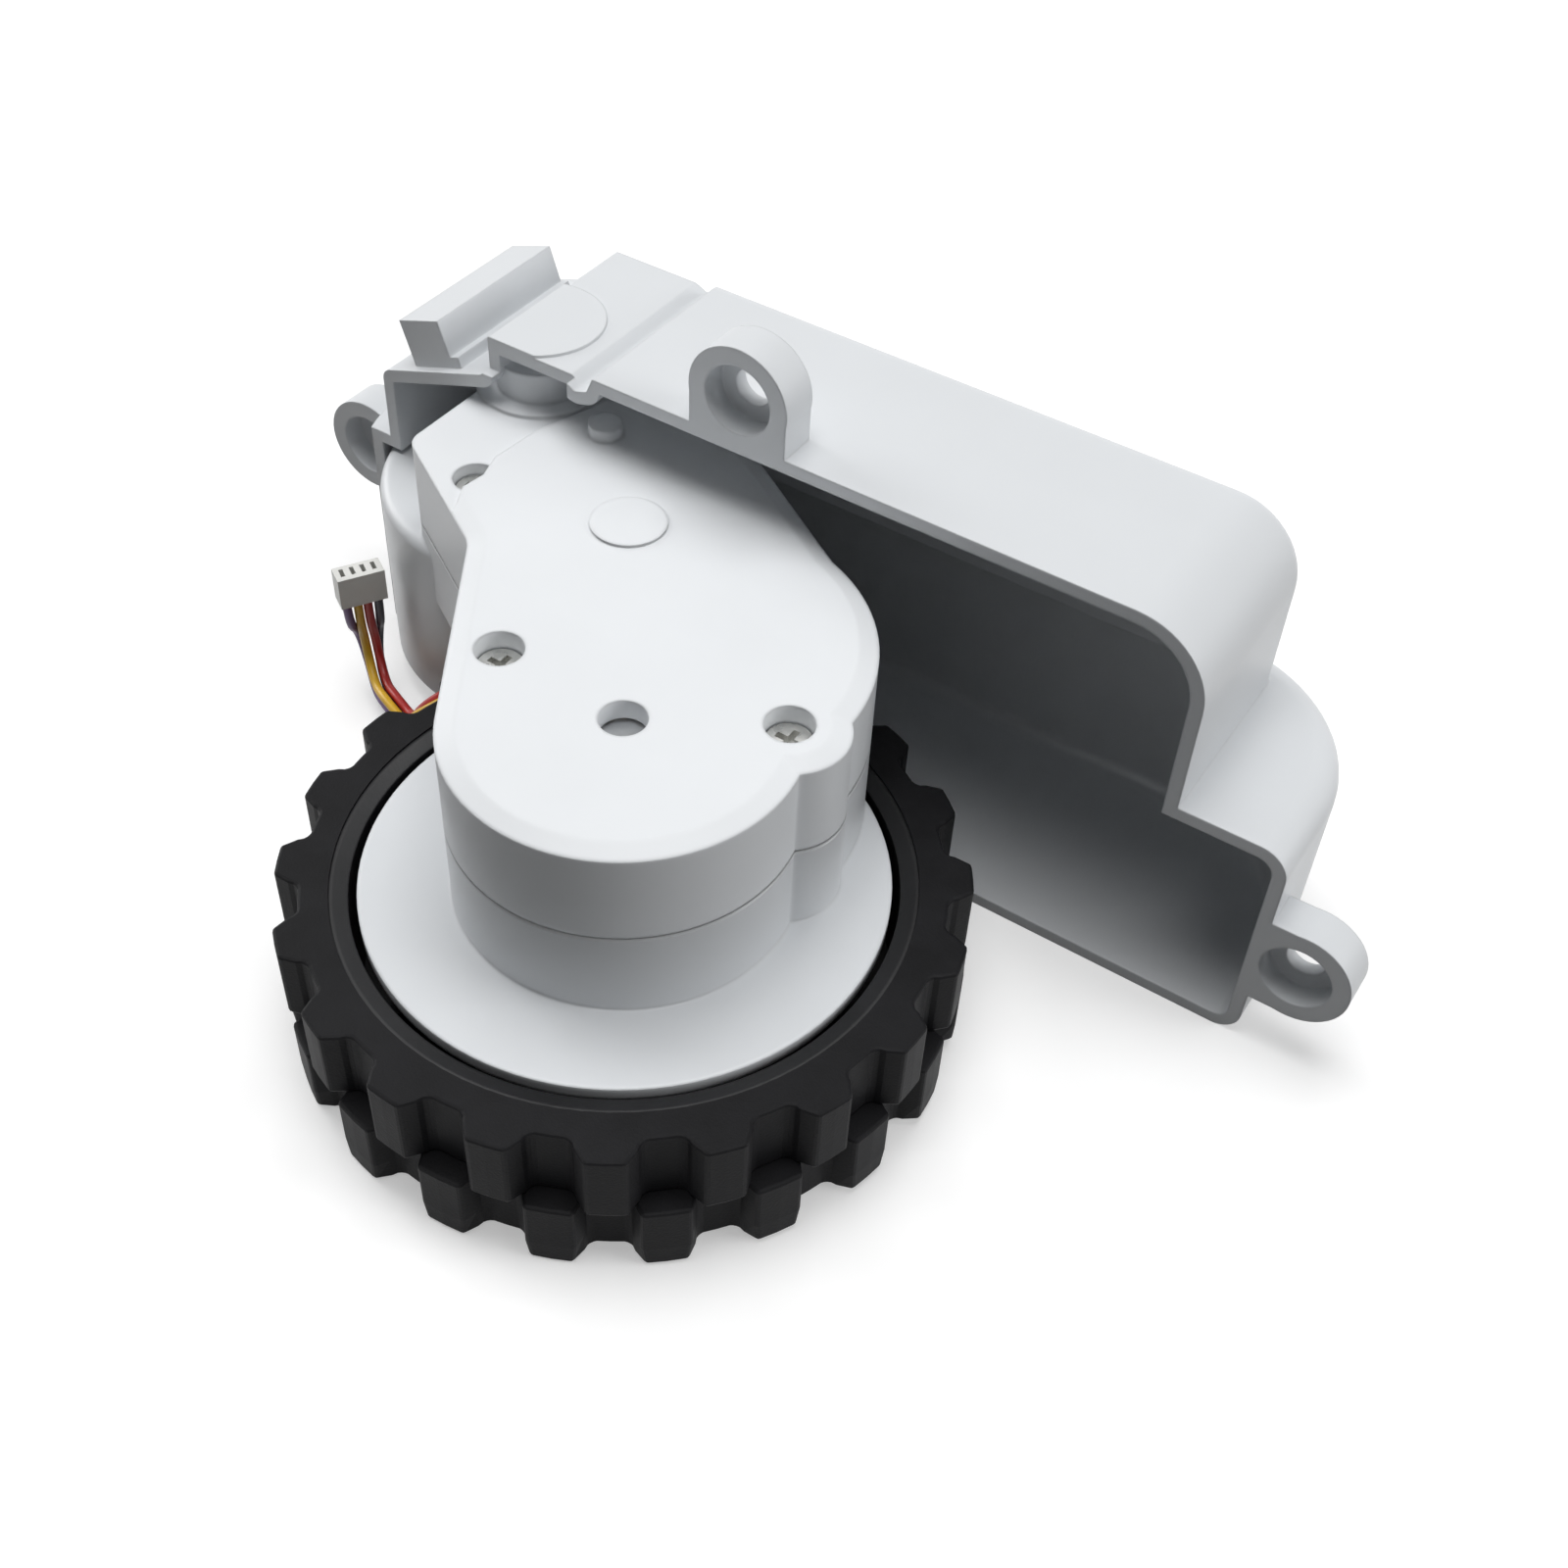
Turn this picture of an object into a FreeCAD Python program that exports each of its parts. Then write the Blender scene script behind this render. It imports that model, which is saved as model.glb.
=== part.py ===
import FreeCAD, Part
import math
import os
import Sketcher

# Drive wheel module of a robot vacuum: a lugged wheel on a geared swing arm, the arm
# pivoting in an open moulded housing that fastens to the robot's base by three ears.
# X runs along the housing, Y into its depth (up in the robot), Z along the wheel's axle.
# The origin lies on the wheel's axle at the tyre's outer face, where the part lies down.

V = FreeCAD.Vector
doc = FreeCAD.newDocument("WheelModule")
sheet = doc.addObject("Spreadsheet::Sheet", "Sizes")

# Every driving size, in millimetres or degrees.
SIZES = {
    # wheel
    "tyre_radius": 35.0,
    "lug_depth": 2.5,
    "lug_tip_angle": 4.7,
    "lug_root_angle": 11.6,
    "lug_count": 20,
    "lug_phase": -56.8,
    "tyre_width": 17.15,
    "tyre_thick": 3.0,
    "rim_wall": 1.9,
    "rim_inset": 0.2,
    "rim_slope": 0.5,
    "web_low": 1.0,
    "web_thick": 2.0,
    "hub_radius": 7.0,
    "spoke_count": 6,
    "spoke_thick": 1.4,
    "spoke_height": 5.0,
    "spoke_window_gap": 3.0,
    "shaft_radius": 3.0,
    "screw_seat": 4.2,
    "screw_pocket_radius": 4.4,
    "hub_screw_head_radius": 3.0,
    "hub_screw_head": 2.0,
    "hub_screw_radius": 1.5,
    "hub_screw_length": 12.0,
    "washer_radius": 4.0,
    "washer_thick": 0.6,
    # gearbox
    "disc_gap": 0.86,
    "disc_top": 16.67,
    "disc_thick": 1.5,
    "tyre_gap": 0.4,
    "hub_gap": 0.4,
    "case_wall": 1.7,
    "case_floor": 18.4,
    "case_split": 27.0,
    "case_top": 37.95,
    "cover_plate": 1.9,
    "band_width": 2.0,
    "band_drop": 0.7,
    "big_end_room": 3.2,
    "bulge_room": 7.8,
    "bulge_leave_angle": 70.5,
    "lobe_drop": 0.7,
    "ring_radius": 7.35,
    "ring_rise": 0.4,
    "boss_radius": 5.05,
    "boss_height": 4.2,
    "pad_radius": 4.1,
    "pad_rise": 0.3,
    "peg_radius": 1.9,
    "peg_height": 1.5,
    "hub_hole_radius": 2.4,
    # pivot and drum
    "pivot_gap": 2.1730,
    "pivot_angle": 44.2838,
    "drum_radius": 19.4,
    "drum_low": 2.0,
    "drum_top": 25.0,
    "drum_round": 1.3,
    "drum_wall": 5.4,
    "motor_low": 7.6,
    "motor_top": 23.2,
    "motor_nose_radius": 3.5,
    "motor_nose": 1.2,
    "motor_shaft_radius": 1.0,
    "motor_fit": 0.1,
    "board_thick": 1.0,
    "board_gap": 0.6,
    "cap_thick": 1.4,
    "cap_low": 0.6,
    "cap_inset": 0.7,
    "cap_boss_radius": 4.5,
    "pivot_pin_radius": 2.0,
    "running_gap": 0.05,
    "lower_pin_top": 4.2,
    "swing_range": 27.0,
    # return spring
    "spring_wire": 0.55,
    "spring_sweep": 330.0,
    "spring_bend": 1.2,
    "spring_low": 3.4,
    "drum_skin": 1.5,
    "spring_groove": 2.0,
    "spring_groove_top": 8.4,
    "spring_leg": 2.6,
    # gear train
    "gear_fine": 0.5,
    "gear_middle": 0.6,
    "pinion_teeth": 12,
    "first_wheel_teeth": 40,
    "first_pinion_teeth": 16,
    "second_wheel_teeth": 48,
    "second_pinion_teeth": 14,
    "third_wheel_teeth": 38,
    "third_pinion_teeth": 14,
    "output_teeth": 32,
    "first_bearing_angle": -19.8,
    "second_bearing_angle": -44.7,
    "third_bearing_angle": -26.2,
    "axle_radius": 1.25,
    "output_low": 19.9,
    "output_face": 5.6,
    "gear_step": 0.4,
    "third_face": 3.2,
    "second_face": 2.2,
    "first_face": 2.0,
    "bearing_radius": 6.0,
    "bearing_height": 4.0,
    "shaft_top": 35.4,
    # case screws
    "screw_a_x": -15.4,
    "screw_a_y": 0.9,
    "screw_b_x": 13.05,
    "screw_b_y": 8.37,
    "screw_c_x": -35.1,
    "screw_c_y": 21.3,
    "screw_bump": 6.0,
    "screw_recess_radius": 2.5,
    "screw_recess_floor": 34.2,
    "screw_head_radius": 2.3,
    "screw_head": 1.7,
    "screw_radius": 1.3,
    "screw_depth": 14.0,
    "screw_hole_gap": 0.3,
    "tower_wall": 1.1,
    # housing
    "rim_front": 7.64,
    "wall": 1.5,
    "floor_low": -1.8,
    "floor_thick": 1.5,
    "step_top": 25.5,
    "right_room": 8.082,
    "back_corner": 18.4,
    "back_inset": 0.4,
    "step_round": 3.4,
    "foot_round": 3.0,
    "drum_gap": 0.6,
    "top_z": 46.9,
    "upper_right": 44.3,
    "upper_left": -27.4,
    "upper_depth": 24.5,
    "upper_corner": 8.6,
    "edge_round": 2.4,
    "left_inset": 2.3,
    "left_roof": 36.2,
    "roof_angle": 19.2,
    "bridge_left": -42.6,
    "bridge_right": -31.2,
    "bridge_top": 45.3,
    "bridge_set_back": 1.4,
    "bridge_pad_radius": 7.5,
    "bridge_pad_rise": 0.3,
    # ears
    "ear_depth": 4.7,
    "ear_hole_radius": 2.1,
    "ear_counterbore": 3.9,
    "ear_counterbore_depth": 2.9,
    "ear_radius": 5.9,
    "ear_right_x": 60.5,
    "ear_right_z": 10.4,
    "ear_top_x": -9.2,
    "ear_top_z": 51.7,
    "ear_left_x": -65.81,
    "ear_left_z": 19.67,
    "ear_left_back": 4.45,
    # cable guide on the sloping roof
    "guide_x": -50.6,
    "guide_width": 6.0,
    "guide_height": 5.6,
    "guide_length": 20.0,
    "post_x": -55.0,
    "post_y": 47.3,
    "post_radius": 1.3,
    "post_top": 42.0,
    # wires and plug
    "wire_radius": 0.55,
    "outlet_angle": -75.0,
    "outlet_z": 10.6,
    "outlet_spread": 18.0,
    "outlet_height": 3.4,
    "grommet_depth": 2.6,
    "plug_x": -52.8,
    "plug_y": 19.2,
    "plug_top": 17.6,
    "plug_long": 5.6,
    "plug_deep": 2.6,
    "plug_tall": 4.2,
    "plug_angle": 59.0,
    "plug_pitch": 1.25,
}
# Sizes that follow from the others.
FOLLOWING = {
    "rim_radius": "tyre_radius - lug_depth - tyre_thick",
    "disc_radius": "rim_radius - rim_wall - disc_gap",
    "motor_radius": "drum_radius - drum_wall",
    "groove_out": "drum_radius - drum_skin",
    "groove_in": "groove_out - spring_groove",
    "spring_radius": "groove_out - 0.5 * spring_groove",
    "cap_radius": "groove_in - cap_inset",
    "reach": "tyre_radius + drum_radius + pivot_gap",
    "pivot_x": "-reach * cos(pivot_angle)",
    "pivot_y": "reach * sin(pivot_angle)",
    "rim_y": "pivot_y - rim_front",
    "left_end": "pivot_x - drum_radius + left_inset",
    "right_end": "pivot_x + reach * cos(pivot_angle - swing_range) + tyre_radius + right_room",
}
for row, (name, value) in enumerate(SIZES.items(), start=1):
    sheet.set("A%d" % row, name)
    sheet.set("B%d" % row, str(value))
    sheet.setAlias("B%d" % row, name)
for row, (name, formula) in enumerate(FOLLOWING.items(), start=len(SIZES) + 2):
    sheet.set("A%d" % row, name)
    sheet.set("B%d" % row, "=" + formula)
    sheet.setAlias("B%d" % row, name)
doc.recompute()


class Cells:
    """Reads each size back from the sheet by its alias."""

    def __getattr__(self, name):
        return float(sheet.get(name))


s = Cells()


def bind(obj, prop, formula):
    obj.setExpression(prop, formula)


def cell(name):
    return "Sizes." + name


# Flat regions, drawn in the plane z = 0 and joined before they go into a sketch.

def disc(x, y, r):
    return Part.Face(Part.Wire(Part.Circle(V(x, y, 0), V(0, 0, 1), r).toShape()))


def anticlockwise(points):
    """The same corners, listed anticlockwise."""
    area = 0.0
    for here, ahead in zip(points, points[1:] + points[:1]):
        area += here[0] * ahead[1] - ahead[0] * here[1]
    return points if area > 0 else points[::-1]


def polygon(points):
    corners = [V(x, y, 0) for x, y in anticlockwise(points)]
    return Part.Face(Part.makePolygon(corners + [corners[0]]))


def rounded(points):
    """Closed outline whose corners (x, y, radius) are rounded by tangent arcs."""
    edges = []
    starts = []
    points = anticlockwise(points)
    count = len(points)
    for i, (x, y, r) in enumerate(points):
        here = V(x, y, 0)
        before = (V(*points[i - 1][:2], 0) - here).normalize()
        after = (V(*points[(i + 1) % count][:2], 0) - here).normalize()
        if r <= 0:
            starts.append((here, None, here))
            continue
        half = before.getAngle(after) / 2
        reach = r / math.tan(half)
        middle = (before + after).normalize()
        centre = here + middle * (r / math.sin(half))
        starts.append((here + before * reach, centre - middle * r, here + after * reach))
    for i, (enter, mid, leave) in enumerate(starts):
        if mid is not None:
            edges.append(Part.Arc(enter, mid, leave).toShape())
        following = starts[(i + 1) % count][0]
        if leave.distanceToPoint(following) > 1e-6:
            edges.append(Part.LineSegment(leave, following).toShape())
    return Part.Face(Part.Wire(Part.__sortEdges__(edges)))


def union(faces):
    whole = faces[0].multiFuse(faces[1:]).removeSplitter()
    return whole.Faces[0]


def inset(face, distance):
    return face.makeOffset2D(-distance).Faces[0]


# Bodies, sketches and features.

def new_body(label):
    body = doc.addObject("PartDesign::Body", "Body_" + label)
    body.Label = label
    return body


def origin_plane(body, role):
    return [f for f in body.Origin.OriginFeatures if f.Role == role][0]


def new_sketch(body, role="XY_Plane", height=None):
    sketch = body.newObject("Sketcher::SketchObject", "Profile_" + body.Label)
    sketch.AttachmentSupport = [(origin_plane(body, role), "")]
    sketch.MapMode = "FlatFace"
    if height is not None:
        bind(sketch, "AttachmentOffset.Base.z", height)
    return sketch


def draw(sketch, region):
    """Copies the outline of a flat region into a sketch and fixes it there."""
    for wire in region.Wires:
        for edge in wire.Edges:
            first, last = edge.ParameterRange
            a, b = edge.valueAt(first), edge.valueAt(last)
            if isinstance(edge.Curve, Part.Line):
                index = sketch.addGeometry(Part.LineSegment(a, b), False)
            elif a.distanceToPoint(b) < 1e-7:
                circle = Part.Circle(edge.Curve.Center, V(0, 0, 1), edge.Curve.Radius)
                index = sketch.addGeometry(circle, False)
            else:
                middle = edge.valueAt((first + last) / 2)
                index = sketch.addGeometry(Part.Arc(a, middle, b), False)
            sketch.addConstraint(Sketcher.Constraint("Block", index))


def draw_circle(sketch, radius, x=None, y=None):
    """A circle whose radius and centre follow the sheet."""
    cx = x[1] if x else 0.0
    cy = y[1] if y else 0.0
    r = radius[1]
    index = sketch.addGeometry(Part.Circle(V(cx, cy, 0), V(0, 0, 1), r), False)
    number = sketch.addConstraint(Sketcher.Constraint("Radius", index, r))
    bind(sketch, "Constraints[%d]" % number, radius[0])
    for kind, value in (("DistanceX", x), ("DistanceY", y)):
        if value is None or abs(value[1]) < 1e-9:
            pull = Sketcher.Constraint("PointOnObject", index, 3, -2 if kind == "DistanceX" else -1)
            sketch.addConstraint(pull)
            continue
        number = sketch.addConstraint(Sketcher.Constraint(kind, -1, 1, index, 3, value[1]))
        bind(sketch, "Constraints[%d]" % number, value[0])
    return index


def val(formula):
    """A formula of aliases, as the pair of its expression and its number."""
    names = sorted(list(SIZES) + list(FOLLOWING), key=len, reverse=True)
    text = ""
    number = ""
    rest = formula
    while rest:
        for name in names:
            if rest.startswith(name) and not (rest[len(name):len(name) + 1].isalnum()):
                text += cell(name)
                number += repr(getattr(s, name))
                rest = rest[len(name):]
                break
        else:
            text += rest[0]
            number += rest[0]
            rest = rest[1:]
    return text, total(number)


def total(number):
    """Adds up a plain sum of numbers and products, such as 2 + 3 - 4 * 0.5."""
    result = 0.0
    sign = 1.0
    product = None
    for token in number.replace("*", " * ").replace(" - ", " minus ").replace(" + ", " plus ").split():
        if token == "plus" or token == "minus":
            result += sign * product
            sign = 1.0 if token == "plus" else -1.0
            product = None
        elif token == "*":
            continue
        else:
            product = float(token) if product is None else product * float(token)
    return result + sign * product


def pad(body, sketch, length, backward=False):
    feature = body.newObject("PartDesign::Pad", "Pad_" + body.Label)
    feature.Profile = sketch
    feature.Reversed = backward
    bind(feature, "Length", val(length)[0])
    body.Tip = feature
    return feature


def pocket(body, sketch, length, upward=True):
    feature = body.newObject("PartDesign::Pocket", "Pocket_" + body.Label)
    feature.Profile = sketch
    feature.Reversed = upward
    bind(feature, "Length", val(length)[0])
    body.Tip = feature
    return feature


def pad_region(body, region, low, high, role="XY_Plane", backward=False):
    sketch = new_sketch(body, role, val(low)[0])
    draw(sketch, region)
    return pad(body, sketch, "%s - %s" % (high, flip(low)), backward)


def flip(formula):
    """The same sum with its later signs turned, to be taken away from another."""
    return formula.replace(" + ", " plus ").replace(" - ", " + ").replace(" plus ", " - ")


def cut_region(body, region, low, high, role="XY_Plane", upward=True):
    sketch = new_sketch(body, role, val(low)[0])
    draw(sketch, region)
    return pocket(body, sketch, "%s - %s" % (high, flip(low)), upward)


def pad_disc(body, radius, low, high, x=None, y=None, bore=None):
    sketch = new_sketch(body, "XY_Plane", val(low)[0])
    centre = (val(x) if x else None, val(y) if y else None)
    draw_circle(sketch, val(radius), *centre)
    if bore:
        draw_circle(sketch, val(bore), *centre)
    return pad(body, sketch, "%s - %s" % (high, flip(low)))


def cut_disc(body, radius, low, high, x=None, y=None):
    sketch = new_sketch(body, "XY_Plane", val(low)[0])
    draw_circle(sketch, val(radius), val(x) if x else None, val(y) if y else None)
    return pocket(body, sketch, "%s - %s" % (high, flip(low)))


def pattern(body, feature, count):
    ring = body.newObject("PartDesign::PolarPattern", "Ring_" + body.Label)
    ring.Originals = [feature]
    ring.Axis = ([f for f in body.Origin.OriginFeatures if f.Role == "Z_Axis"][0], [""])
    ring.Angle = 360
    bind(ring, "Occurrences", val(count)[0])
    body.Tip = ring
    return ring


def place(body, x, y):
    bind(body, "Placement.Base.x", cell(x))
    bind(body, "Placement.Base.y", cell(y))


def soften(body, size, wanted):
    """Rounds the edges of the body's last feature that the test picks."""
    doc.recompute()
    base = body.Tip
    names = ["Edge%d" % (i + 1) for i, e in enumerate(base.Shape.Edges) if wanted(e)]
    feature = body.newObject("PartDesign::Fillet", "Round_" + body.Label)
    feature.Base = (base, names)
    bind(feature, "Radius", val(size)[0])
    body.Tip = feature
    return feature


def bevel(body, wide, deep, wanted, flipped=False):
    doc.recompute()
    base = body.Tip
    names = ["Edge%d" % (i + 1) for i, e in enumerate(base.Shape.Edges) if wanted(e)]
    feature = body.newObject("PartDesign::Chamfer", "Bevel_" + body.Label)
    feature.Base = (base, names)
    feature.ChamferType = "Two distances"
    feature.FlipDirection = flipped
    bind(feature, "Size", val(wide)[0])
    bind(feature, "Size2", val(deep)[0])
    body.Tip = feature
    return feature


def flat_at(edge, z):
    box = edge.BoundBox
    return abs(box.ZMin - z) < 1e-4 and abs(box.ZMax - z) < 1e-4


def near_outline(region, edge, limit=0.05):
    middle = edge.valueAt(sum(edge.ParameterRange) / 2)
    point = Part.Vertex(middle.x, middle.y, 0)
    return region.OuterWire.distToShape(point)[0] < limit


PIVOT = (s.pivot_x, s.pivot_y)
PX, PY = "pivot_x", "pivot_y"

# Tyre: a ring with two rows of tapered lugs, the rows half a pitch apart.

half_turn = math.radians(180 / s.lug_count)
root_radius = s.tyre_radius - s.lug_depth


def lug(angle):
    corners = []
    for radius, half in ((root_radius - 0.4, s.lug_root_angle / 2),
                         (s.tyre_radius, s.lug_tip_angle / 2)):
        for side in (-1, 1):
            at = math.radians(angle + side * half)
            corners.append((radius * math.cos(at), radius * math.sin(at)))
    return polygon([corners[0], corners[2], corners[3], corners[1]])


tyre = new_body("tyre")
pad_disc(tyre, "tyre_radius - lug_depth", "0 * wall", "tyre_width", bore="rim_radius")
first_lug = pad_region(tyre, lug(s.lug_phase), "0.5 * tyre_width", "tyre_width")
pattern(tyre, first_lug, "lug_count")
second_lug = pad_region(tyre, lug(s.lug_phase + 180 / s.lug_count), "0 * wall", "0.5 * tyre_width")
pattern(tyre, second_lug, "lug_count")

# Wheel hub: rim, web, spokes and a hub that takes the shaft's end and its screw.

hub = new_body("wheel_hub")
pad_disc(hub, "rim_radius", "web_low", "web_low + web_thick")
pad_disc(hub, "rim_radius", "rim_inset", "tyre_width - rim_inset", bore="rim_radius - rim_wall")
pad_disc(hub, "hub_radius", "web_low", "disc_top - disc_thick - hub_gap")
spoke_outer = s.rim_radius - s.rim_wall / 2
spoke = pad_region(hub, polygon([(0, -s.spoke_thick / 2), (spoke_outer, -s.spoke_thick / 2),
                                 (spoke_outer, s.spoke_thick / 2), (0, s.spoke_thick / 2)]),
                   "web_low", "web_low + web_thick + spoke_height")
pattern(hub, spoke, "spoke_count")
window_turn = 180 / s.spoke_count
window_in = s.hub_radius + s.spoke_window_gap
window_out = s.rim_radius - s.rim_wall - s.spoke_window_gap
window_half = window_turn * 0.5


def sector(inner, outer, start, end):
    """Flat sector of a ring between two angles in degrees."""
    def at(radius, angle):
        turn = math.radians(angle)
        return V(radius * math.cos(turn), radius * math.sin(turn), 0)
    middle = (start + end) / 2
    edges = [
        Part.Arc(at(outer, start), at(outer, middle), at(outer, end)).toShape(),
        Part.LineSegment(at(outer, end), at(inner, end)).toShape(),
        Part.Arc(at(inner, end), at(inner, middle), at(inner, start)).toShape(),
        Part.LineSegment(at(inner, start), at(outer, start)).toShape(),
    ]
    return Part.Face(Part.Wire(edges))


window = cut_region(hub, sector(window_in, window_out, window_turn - window_half, window_turn + window_half),
                    "web_low", "web_low + 0.4 * web_thick")
pattern(hub, window, "spoke_count")
cut_disc(hub, "screw_pocket_radius", "web_low - 0.1 * wall", "screw_seat")
cut_disc(hub, "shaft_radius", "screw_seat - 0.1 * wall", "disc_top")
doc.recompute()
bevel(hub, "rim_wall - 0.2 * rim_wall", "rim_slope",
      lambda e: flat_at(e, s.tyre_width - s.rim_inset)
      and abs(e.BoundBox.XMax - (s.rim_radius - s.rim_wall)) < 1e-4)

# Output shaft, with a tapped end for the hub screw.

shaft = new_body("output_shaft")
pad_disc(shaft, "shaft_radius", "screw_seat + washer_thick", "shaft_top")
cut_disc(shaft, "hub_screw_radius", "screw_seat", "screw_seat + hub_screw_length")

washer = new_body("hub_washer")
pad_disc(washer, "washer_radius", "screw_seat - washer_thick", "screw_seat", bore="hub_screw_radius")

hub_screw = new_body("hub_screw")
pad_disc(hub_screw, "hub_screw_head_radius",
         "screw_seat - washer_thick - hub_screw_head", "screw_seat - washer_thick")
pad_disc(hub_screw, "hub_screw_radius", "screw_seat - washer_thick", "screw_seat + hub_screw_length")


def cross_slot(radius, arm):
    bars = [polygon([(-radius, -arm), (radius, -arm), (radius, arm), (-radius, arm)]),
            polygon([(-arm, -radius), (arm, -radius), (arm, radius), (-arm, radius)])]
    return union(bars)


cut_region(hub_screw, cross_slot(0.62 * s.hub_screw_head_radius, 0.15 * s.hub_screw_head_radius),
           "screw_seat - washer_thick - hub_screw_head", "screw_seat - washer_thick - 0.4 * hub_screw_head")


# Gear train. Each pair's centres stand apart by its pitch radii.

def pitch_radius(module, teeth):
    return module * teeth / 2


def step(start, distance, angle):
    turn = math.radians(angle)
    return (start[0] + distance * math.cos(turn), start[1] + distance * math.sin(turn))


reach_one = pitch_radius(s.gear_fine, s.pinion_teeth + s.first_wheel_teeth)
reach_two = pitch_radius(s.gear_fine, s.first_pinion_teeth + s.second_wheel_teeth)
reach_three = pitch_radius(s.gear_middle, s.second_pinion_teeth + s.third_wheel_teeth)
FIRST = step(PIVOT, reach_one, s.first_bearing_angle)
SECOND = step(FIRST, reach_two, s.second_bearing_angle)
THIRD = step(SECOND, reach_three, s.third_bearing_angle)
gear_coarse = 2 * math.hypot(*THIRD) / (s.third_pinion_teeth + s.output_teeth)


def bearing(a, b):
    """Direction from one centre to the next, in degrees."""
    return math.degrees(math.atan2(b[1] - a[1], b[0] - a[0]))


def gear_outline(module, teeth, centre, tooth_at):
    """Straight-flanked teeth round a centre, one of them pointing at tooth_at degrees."""
    teeth = int(round(teeth))
    pitch = pitch_radius(module, teeth)
    tip, root = pitch + 0.85 * module, pitch - 1.15 * module
    turn = 360 / teeth
    points = []
    for k in range(teeth):
        middle = tooth_at + k * turn
        for radius, share in ((root, -0.30), (tip, -0.13), (tip, 0.13), (root, 0.30)):
            points.append(step(centre, radius, middle + share * turn))
    return polygon(points)


def gap_at(teeth, angle):
    """The angle to give a gear's tooth so that a gap points at the given angle."""
    return angle + 180 / int(round(teeth))


output_gear = new_body("output_gear")
pad_region(output_gear, gear_outline(gear_coarse, s.output_teeth, (0, 0), bearing((0, 0), THIRD)),
           "output_low", "output_low + output_face")
pad_disc(output_gear, "shaft_radius + 2 * tower_wall", "output_low", "output_low + output_face + gear_step")
cut_disc(output_gear, "shaft_radius", "output_low - 0.1 * wall", "output_low + output_face + wall")

third_z = "output_low + output_face + gear_step"
second_z = third_z + " + third_face + gear_step"
first_z = second_z + " + second_face + gear_step"


def compound_gear(label, centre, small, large, low, mid, high, large_low):
    """A pinion and a larger wheel in one moulding, bored for its axle."""
    body = new_body(label)
    pad_region(body, small, low, mid)
    pad_region(body, large, large_low, high)
    sketch = new_sketch(body, "XY_Plane", val(low + " - 0.1 * wall")[0])
    draw(sketch, disc(centre[0], centre[1], s.axle_radius + s.running_gap))
    pocket(body, sketch, "%s + 0.2 * wall - %s" % (high, flip(low)))
    return body


compound_gear("third_gear", THIRD,
              gear_outline(gear_coarse, s.third_pinion_teeth, THIRD,
                           gap_at(s.third_pinion_teeth, bearing(THIRD, (0, 0)))),
              gear_outline(s.gear_middle, s.third_wheel_teeth, THIRD, bearing(THIRD, SECOND)),
              "output_low", third_z + " + 0.5 * third_face", third_z + " + third_face", third_z)
compound_gear("second_gear", SECOND,
              gear_outline(s.gear_middle, s.second_pinion_teeth, SECOND,
                           gap_at(s.second_pinion_teeth, bearing(SECOND, THIRD))),
              gear_outline(s.gear_fine, s.second_wheel_teeth, SECOND, bearing(SECOND, FIRST)),
              third_z, second_z + " + 0.5 * second_face", second_z + " + second_face", second_z)
compound_gear("first_gear", FIRST,
              gear_outline(s.gear_fine, s.first_pinion_teeth, FIRST,
                           gap_at(s.first_pinion_teeth, bearing(FIRST, SECOND))),
              gear_outline(s.gear_fine, s.first_wheel_teeth, FIRST, bearing(FIRST, PIVOT)),
              second_z, first_z + " + 0.5 * first_face", first_z + " + first_face", first_z)

pinion = new_body("motor_pinion")
pad_region(pinion, gear_outline(s.gear_fine, s.pinion_teeth, PIVOT,
                                gap_at(s.pinion_teeth, bearing(PIVOT, FIRST))),
           first_z + " - gear_step", first_z + " + first_face + gear_step")
cut_disc(pinion, "motor_shaft_radius", first_z + " - wall", first_z + " + first_face + wall", PX, PY)

motor_shaft = new_body("motor_shaft")
pad_disc(motor_shaft, "motor_shaft_radius", "motor_low + 3 * wall", first_z + " + first_face + gear_step", PX, PY)

# Motor: a can with a nose, round the shaft.

motor = new_body("motor")
pad_disc(motor, "motor_radius", "motor_low", "motor_top", PX, PY)
pad_disc(motor, "motor_nose_radius", "motor_top", "motor_top + motor_nose", PX, PY)
cut_disc(motor, "motor_shaft_radius + running_gap", "motor_low + 2.8 * wall", "motor_top + motor_nose + wall", PX, PY)

board = new_body("encoder_board")
pad_disc(board, "motor_radius - 0.5 * wall", "motor_low - board_gap - board_thick", "motor_low - board_gap", PX, PY)
for side in (-1, 1):
    at = step(PIVOT, 0.6 * s.motor_radius, 90 + side * 90)
    pad_region(board, disc(at[0], at[1], 1.2), "motor_low - board_gap - 0.5 * board_thick", "motor_low")

# Gearbox base: dust disc, floor and walls of the arm, and the drum round the motor.

output_tip = pitch_radius(gear_coarse, s.output_teeth) + gear_coarse
big_end_radius = output_tip + s.big_end_room + s.case_wall - 0.15 * gear_coarse
big_end = disc(0, 0, big_end_radius)
third_tip = pitch_radius(s.gear_middle, s.third_wheel_teeth) + s.gear_middle
bulge_at = (THIRD[0] - 1.1, THIRD[1] - 5.5)
bump = disc(s.screw_b_x, s.screw_b_y, s.screw_bump)
shoulder = (SECOND[0] - 11.9, SECOND[1] - 11.5)
touch = bearing((0, 0), shoulder) + math.degrees(math.acos(big_end_radius / math.hypot(*shoulder)))
tangent = step((0, 0), big_end_radius, touch)
lobe_left = s.pivot_x - 4.7
bulge_radius = third_tip + s.bulge_room + s.case_wall - 0.1
bulge_leaves = step(bulge_at, bulge_radius + 0.01, s.bulge_leave_angle)
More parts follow.
